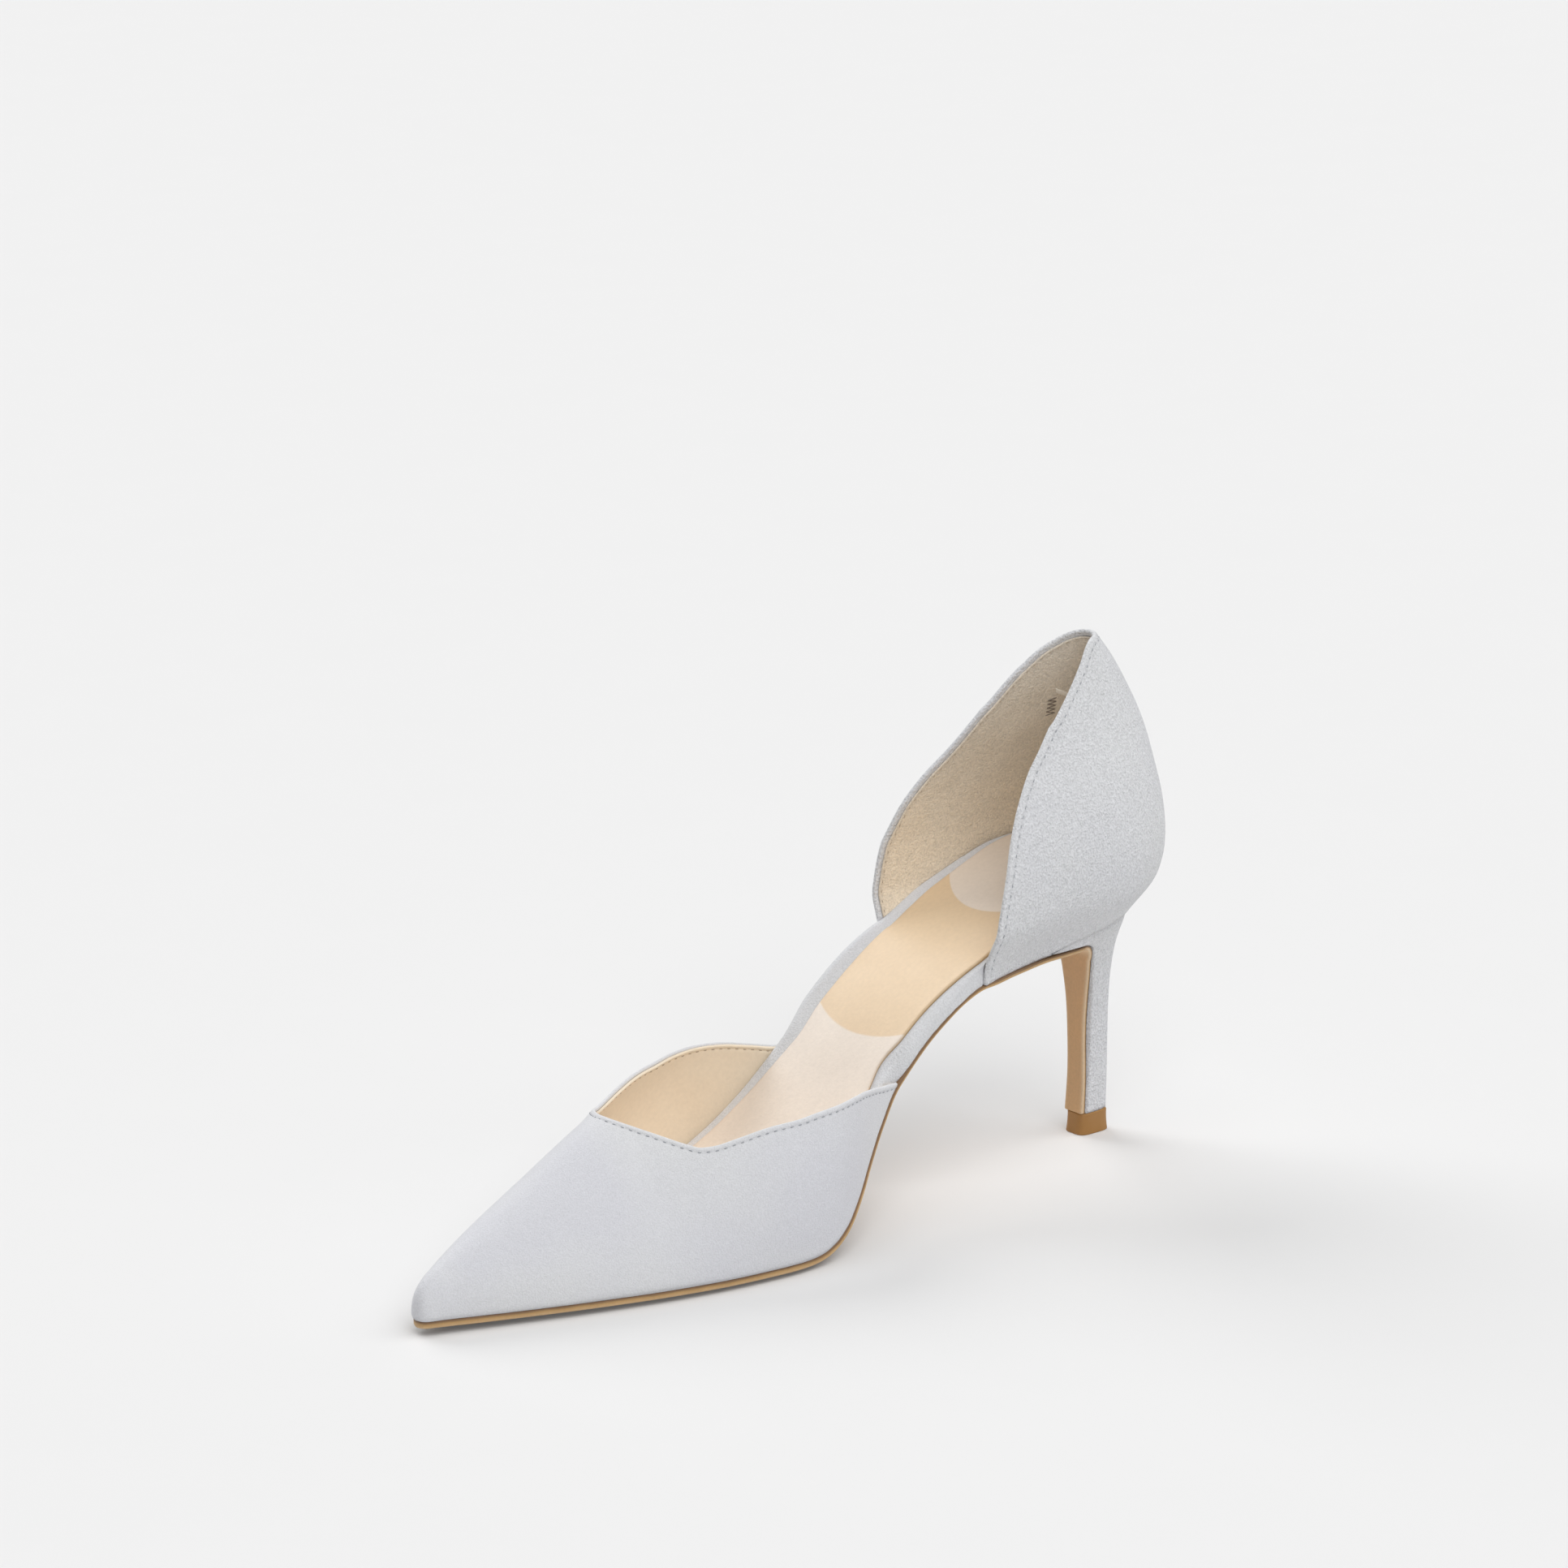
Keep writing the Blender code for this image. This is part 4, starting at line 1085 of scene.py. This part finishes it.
def soleMaterial():
    # painted shade over the glue line darkens the edge above a wandering line, a painted highlight pales it
    # below;
    # the underside has its own tan with painted shade near its rim, the trimmed edges a paler cut and a
    # painted highlight
    look, tree, shader = newLook("sole leather")
    spot = objectSpot(tree)
    grain = noise(tree, spot, 1400.0, 3.0, 0.6, 0.4)
    cloud = noise(tree, spot, 120.0, 3.0, 0.55, 0.5)
    wander = swing(tree, noise(tree, spot, 160.0, 2.0, 0.5), 0.25, field(tree, "lip"))
    # painted shade above the wandering line, a painted highlight below it
    above = math2(tree, "SUBTRACT", field(tree, "band"), wander)
    dark = clamped(tree, math2(tree, "DIVIDE", above, 0.25))
    pale = addNode(tree, "ShaderNodeMapRange", {0: wander, 1: 0.45, 2: 0.8}).outputs[0]
    colour = mixColour(tree, math2(tree, "MULTIPLY", pale, 0.8), outsole["edge"], outsole["edgePale"])
    colour = mixColour(tree, math2(tree, "MULTIPLY", dark, 0.85), colour, outsole["edgeDark"])
    for name, tint in (("under", "under"), ("trimAndHighlight", "trimAndHighlight"), ("underShade", "underShadeColour")):
        colour = mixColour(tree, field(tree, name), colour, outsole[tint])
    tone = swing(tree, grain, 0.25, math2(tree, "MULTIPLY_ADD", cloud, 0.16, 0.92))
    rough = math2(tree, "MULTIPLY_ADD", cloud, 0.3, 0.38)
    wire(tree, shader, scaled(tree, colour, tone), rough, grain, 0.0001, 0.35)
    return look


def buildOutsole():
    # across a station: down the near edge, round its bevel, over a bowed underside and up the far edge
    place = np.concatenate([soleStrip(), soleBend(), soleFlap()])
    x, z, lean, near, far, axis, thick = (place[:, k][:, None] for k in range(7))
    turned = step(lean, 0.05, 0.6) * (x < 40.0)  # 0 along the strip, 1 down the breast
    raised = outsole["edgeLift"] * step(x, 112.0, 140.0)
    level = step(x, 226.0, 239.0)  # the underside flattens out under the toe
    bevel = np.minimum(outsole["bevel"], 0.3 * (near + far))
    arc = np.linspace(0.0, rightAngle, 8)[None, :]
    side, zero = thick - raised, 0.0 * thick
    down = np.concatenate([zero, 0.06 * thick, 0.3 * thick, side - bevel + bevel * np.sin(arc)], 1)
    draw = np.concatenate([zero + 0.1, zero + 0.02, zero, bevel * (1 - np.cos(arc))], 1)
    draw = draw * unit(near / 0.8)
    flat = np.linspace(-1.0, 1.0, 26)[None, 1:-1]
    nearEdge, farEdge = near - draw, draw - far
    bottom = nearEdge[:, -1:] + (farEdge[:, -1:] - nearEdge[:, -1:]) * (flat + 1) / 2
    across = np.concatenate([nearEdge, bottom, farEdge[:, ::-1]], 1)
    deep = np.concatenate([down, thick - raised * (level + (1 - level) * flat ** 4), down[:, ::-1]], 1)
    rings = np.stack([x + np.sin(lean) * deep, axis + across, z - np.cos(lean) * deep], -1)

    k = down.shape[1]
    under = np.zeros(deep.shape)
    under[:, k:-k] = 1.0
    under[:, [k - 1, -k]] = 0.6
    inward = np.minimum(near - across, across + far)
    # the flap's trimmed edges and the underside of the turn: a paler cut edge with a painted highlight
    trimAndHighlight = turned * bell(inward, 0.0, 0.7) * step(deep / thick, 0.3, 0.7)
    towardRim = 0.45 + 0.55 * bell(inward, 0.0, 5.0)  # painted shade under the rim, darkest near the edge, deepening the gap under the sole
    fields = {
        "lip": deep / side, "under": under,
        "trimAndHighlight": np.maximum(trimAndHighlight, 0.7 * under * bell(lean, 0.75, 0.45) * (x < 40.0)),
        # how far up the edge the glue line and its painted shade reach
        "band": 0.42 + 0.24 * step(x, 70.0, 84.0) * (1 - step(x, 112.0, 150.0)) + 0 * deep,
        "underShade": under * towardRim * step(x, 60.0, 100.0),
    }
    fields = {key: np.append(value, [0.0, 0.0]) for key, value in fields.items()}
    sheet = capRings(rings, closeFirst=False)  # the toe ring is a line
    addPiece("outsole_leather", *sheet, soleMaterial(), "sole", "outsole", fields)


buildOutsole()

# Stage: pale floor, soft light and the camera

stage = {
    "floorColour": (0.732, 0.727, 0.724, 1), "floorGlow": 0.08, "glowColour": (0.90, 0.96, 1.0, 1),
    "sky": 0.12, "lampAngle": 45.0,
    "lamps": {  # where each lamp stands, as a direction, and its power
        "front lamp": (0.2, 0.6, 0.77, 1.27), "back lamp": (0.0, -0.8, 0.6, 1.55),
        "side lamp": (-0.5, 0.4, 0.75, 0.85), "top lamp": (0.0, 0.01, 1.0, 0.55),
    },
    "cameraAt": (0.88211, 1.11104, 0.50522),
    "azimuth": 38.44, "pitch": 15.50, "roll": -1.147, "lens": 138.19,
}


def addObject(name, data):
    item = bpy.data.objects.new(name, data)
    bpy.context.scene.collection.objects.link(item)
    return item


def buildFloor():  # a wide flat grid, painted with a faint cloud and a faint glow
    look, tree, shader = newLook("floor paint")
    faint = math2(tree, "MULTIPLY_ADD", noise(tree, objectSpot(tree), 30.0, 2.0, 0.5), 0.01, 0.995)
    tree.links.new(scaled(tree, stage["floorColour"][:3], faint), shader.inputs["Base Color"])
    shader.inputs["Roughness"].default_value = 0.9
    shader.inputs["Specular IOR Level"].default_value = 0.0
    shader.inputs["Emission Color"].default_value = stage["glowColour"]
    shader.inputs["Emission Strength"].default_value = stage["floorGlow"]
    mesh = bpy.data.meshes.new("floor")
    side = np.linspace(-8.0, 8.0, 9)
    x, y = (a.reshape(-1) for a in np.meshgrid(side, side, indexing="ij"))
    mesh.from_pydata(np.stack([x, y, 0 * x], -1).tolist(), [], gridCells(9, 9)[:, ::-1].tolist())
    mesh.materials.append(look)
    addObject("floor", mesh)


def buildLight():  # a faint even sky and four wide suns
    world = bpy.data.worlds.new("studio")
    world.use_nodes = True
    back = world.node_tree.nodes["Background"]
    back.inputs["Color"].default_value = (1.0, 1.0, 1.0, 1)
    back.inputs["Strength"].default_value = stage["sky"]
    bpy.context.scene.world = world
    for name, (wayX, wayY, wayZ, power) in stage["lamps"].items():
        lamp = bpy.data.lights.new(name, "SUN")
        lamp.energy = power
        lamp.angle = math.radians(stage["lampAngle"])
        tilt = math.atan2(math.hypot(wayX, wayY), wayZ)
        addObject(name, lamp).rotation_euler = (tilt, 0.0, math.atan2(wayX, -wayY))


def buildCamera():  # looks along azimuth and pitch, then rolls about that line
    lens = bpy.data.cameras.new("camera")
    lens.lens = stage["lens"]
    lens.sensor_width = 36.0
    lens.clip_end = 50.0
    camera = addObject("camera", lens)
    a, p, r = (math.radians(stage[k]) for k in ("azimuth", "pitch", "roll"))
    ahead = np.array([-math.sin(a) * math.cos(p), -math.cos(a) * math.cos(p), -math.sin(p)])
    right = np.cross(ahead, [0.0, 0.0, 1.0])
    right /= np.linalg.norm(right)
    up = np.cross(right, ahead)
    matrix = np.eye(4)
    matrix[:3, 0] = math.cos(r) * right + math.sin(r) * up
    matrix[:3, 1] = math.cos(r) * up - math.sin(r) * right
    matrix[:3, 2] = -ahead
    matrix[:3, 3] = stage["cameraAt"]
    camera.matrix_world = Matrix(matrix.tolist())
    bpy.context.scene.camera = camera
    bpy.context.scene.view_settings.view_transform = "Standard"


buildFloor()
buildLight()
buildCamera()
print("stage built")
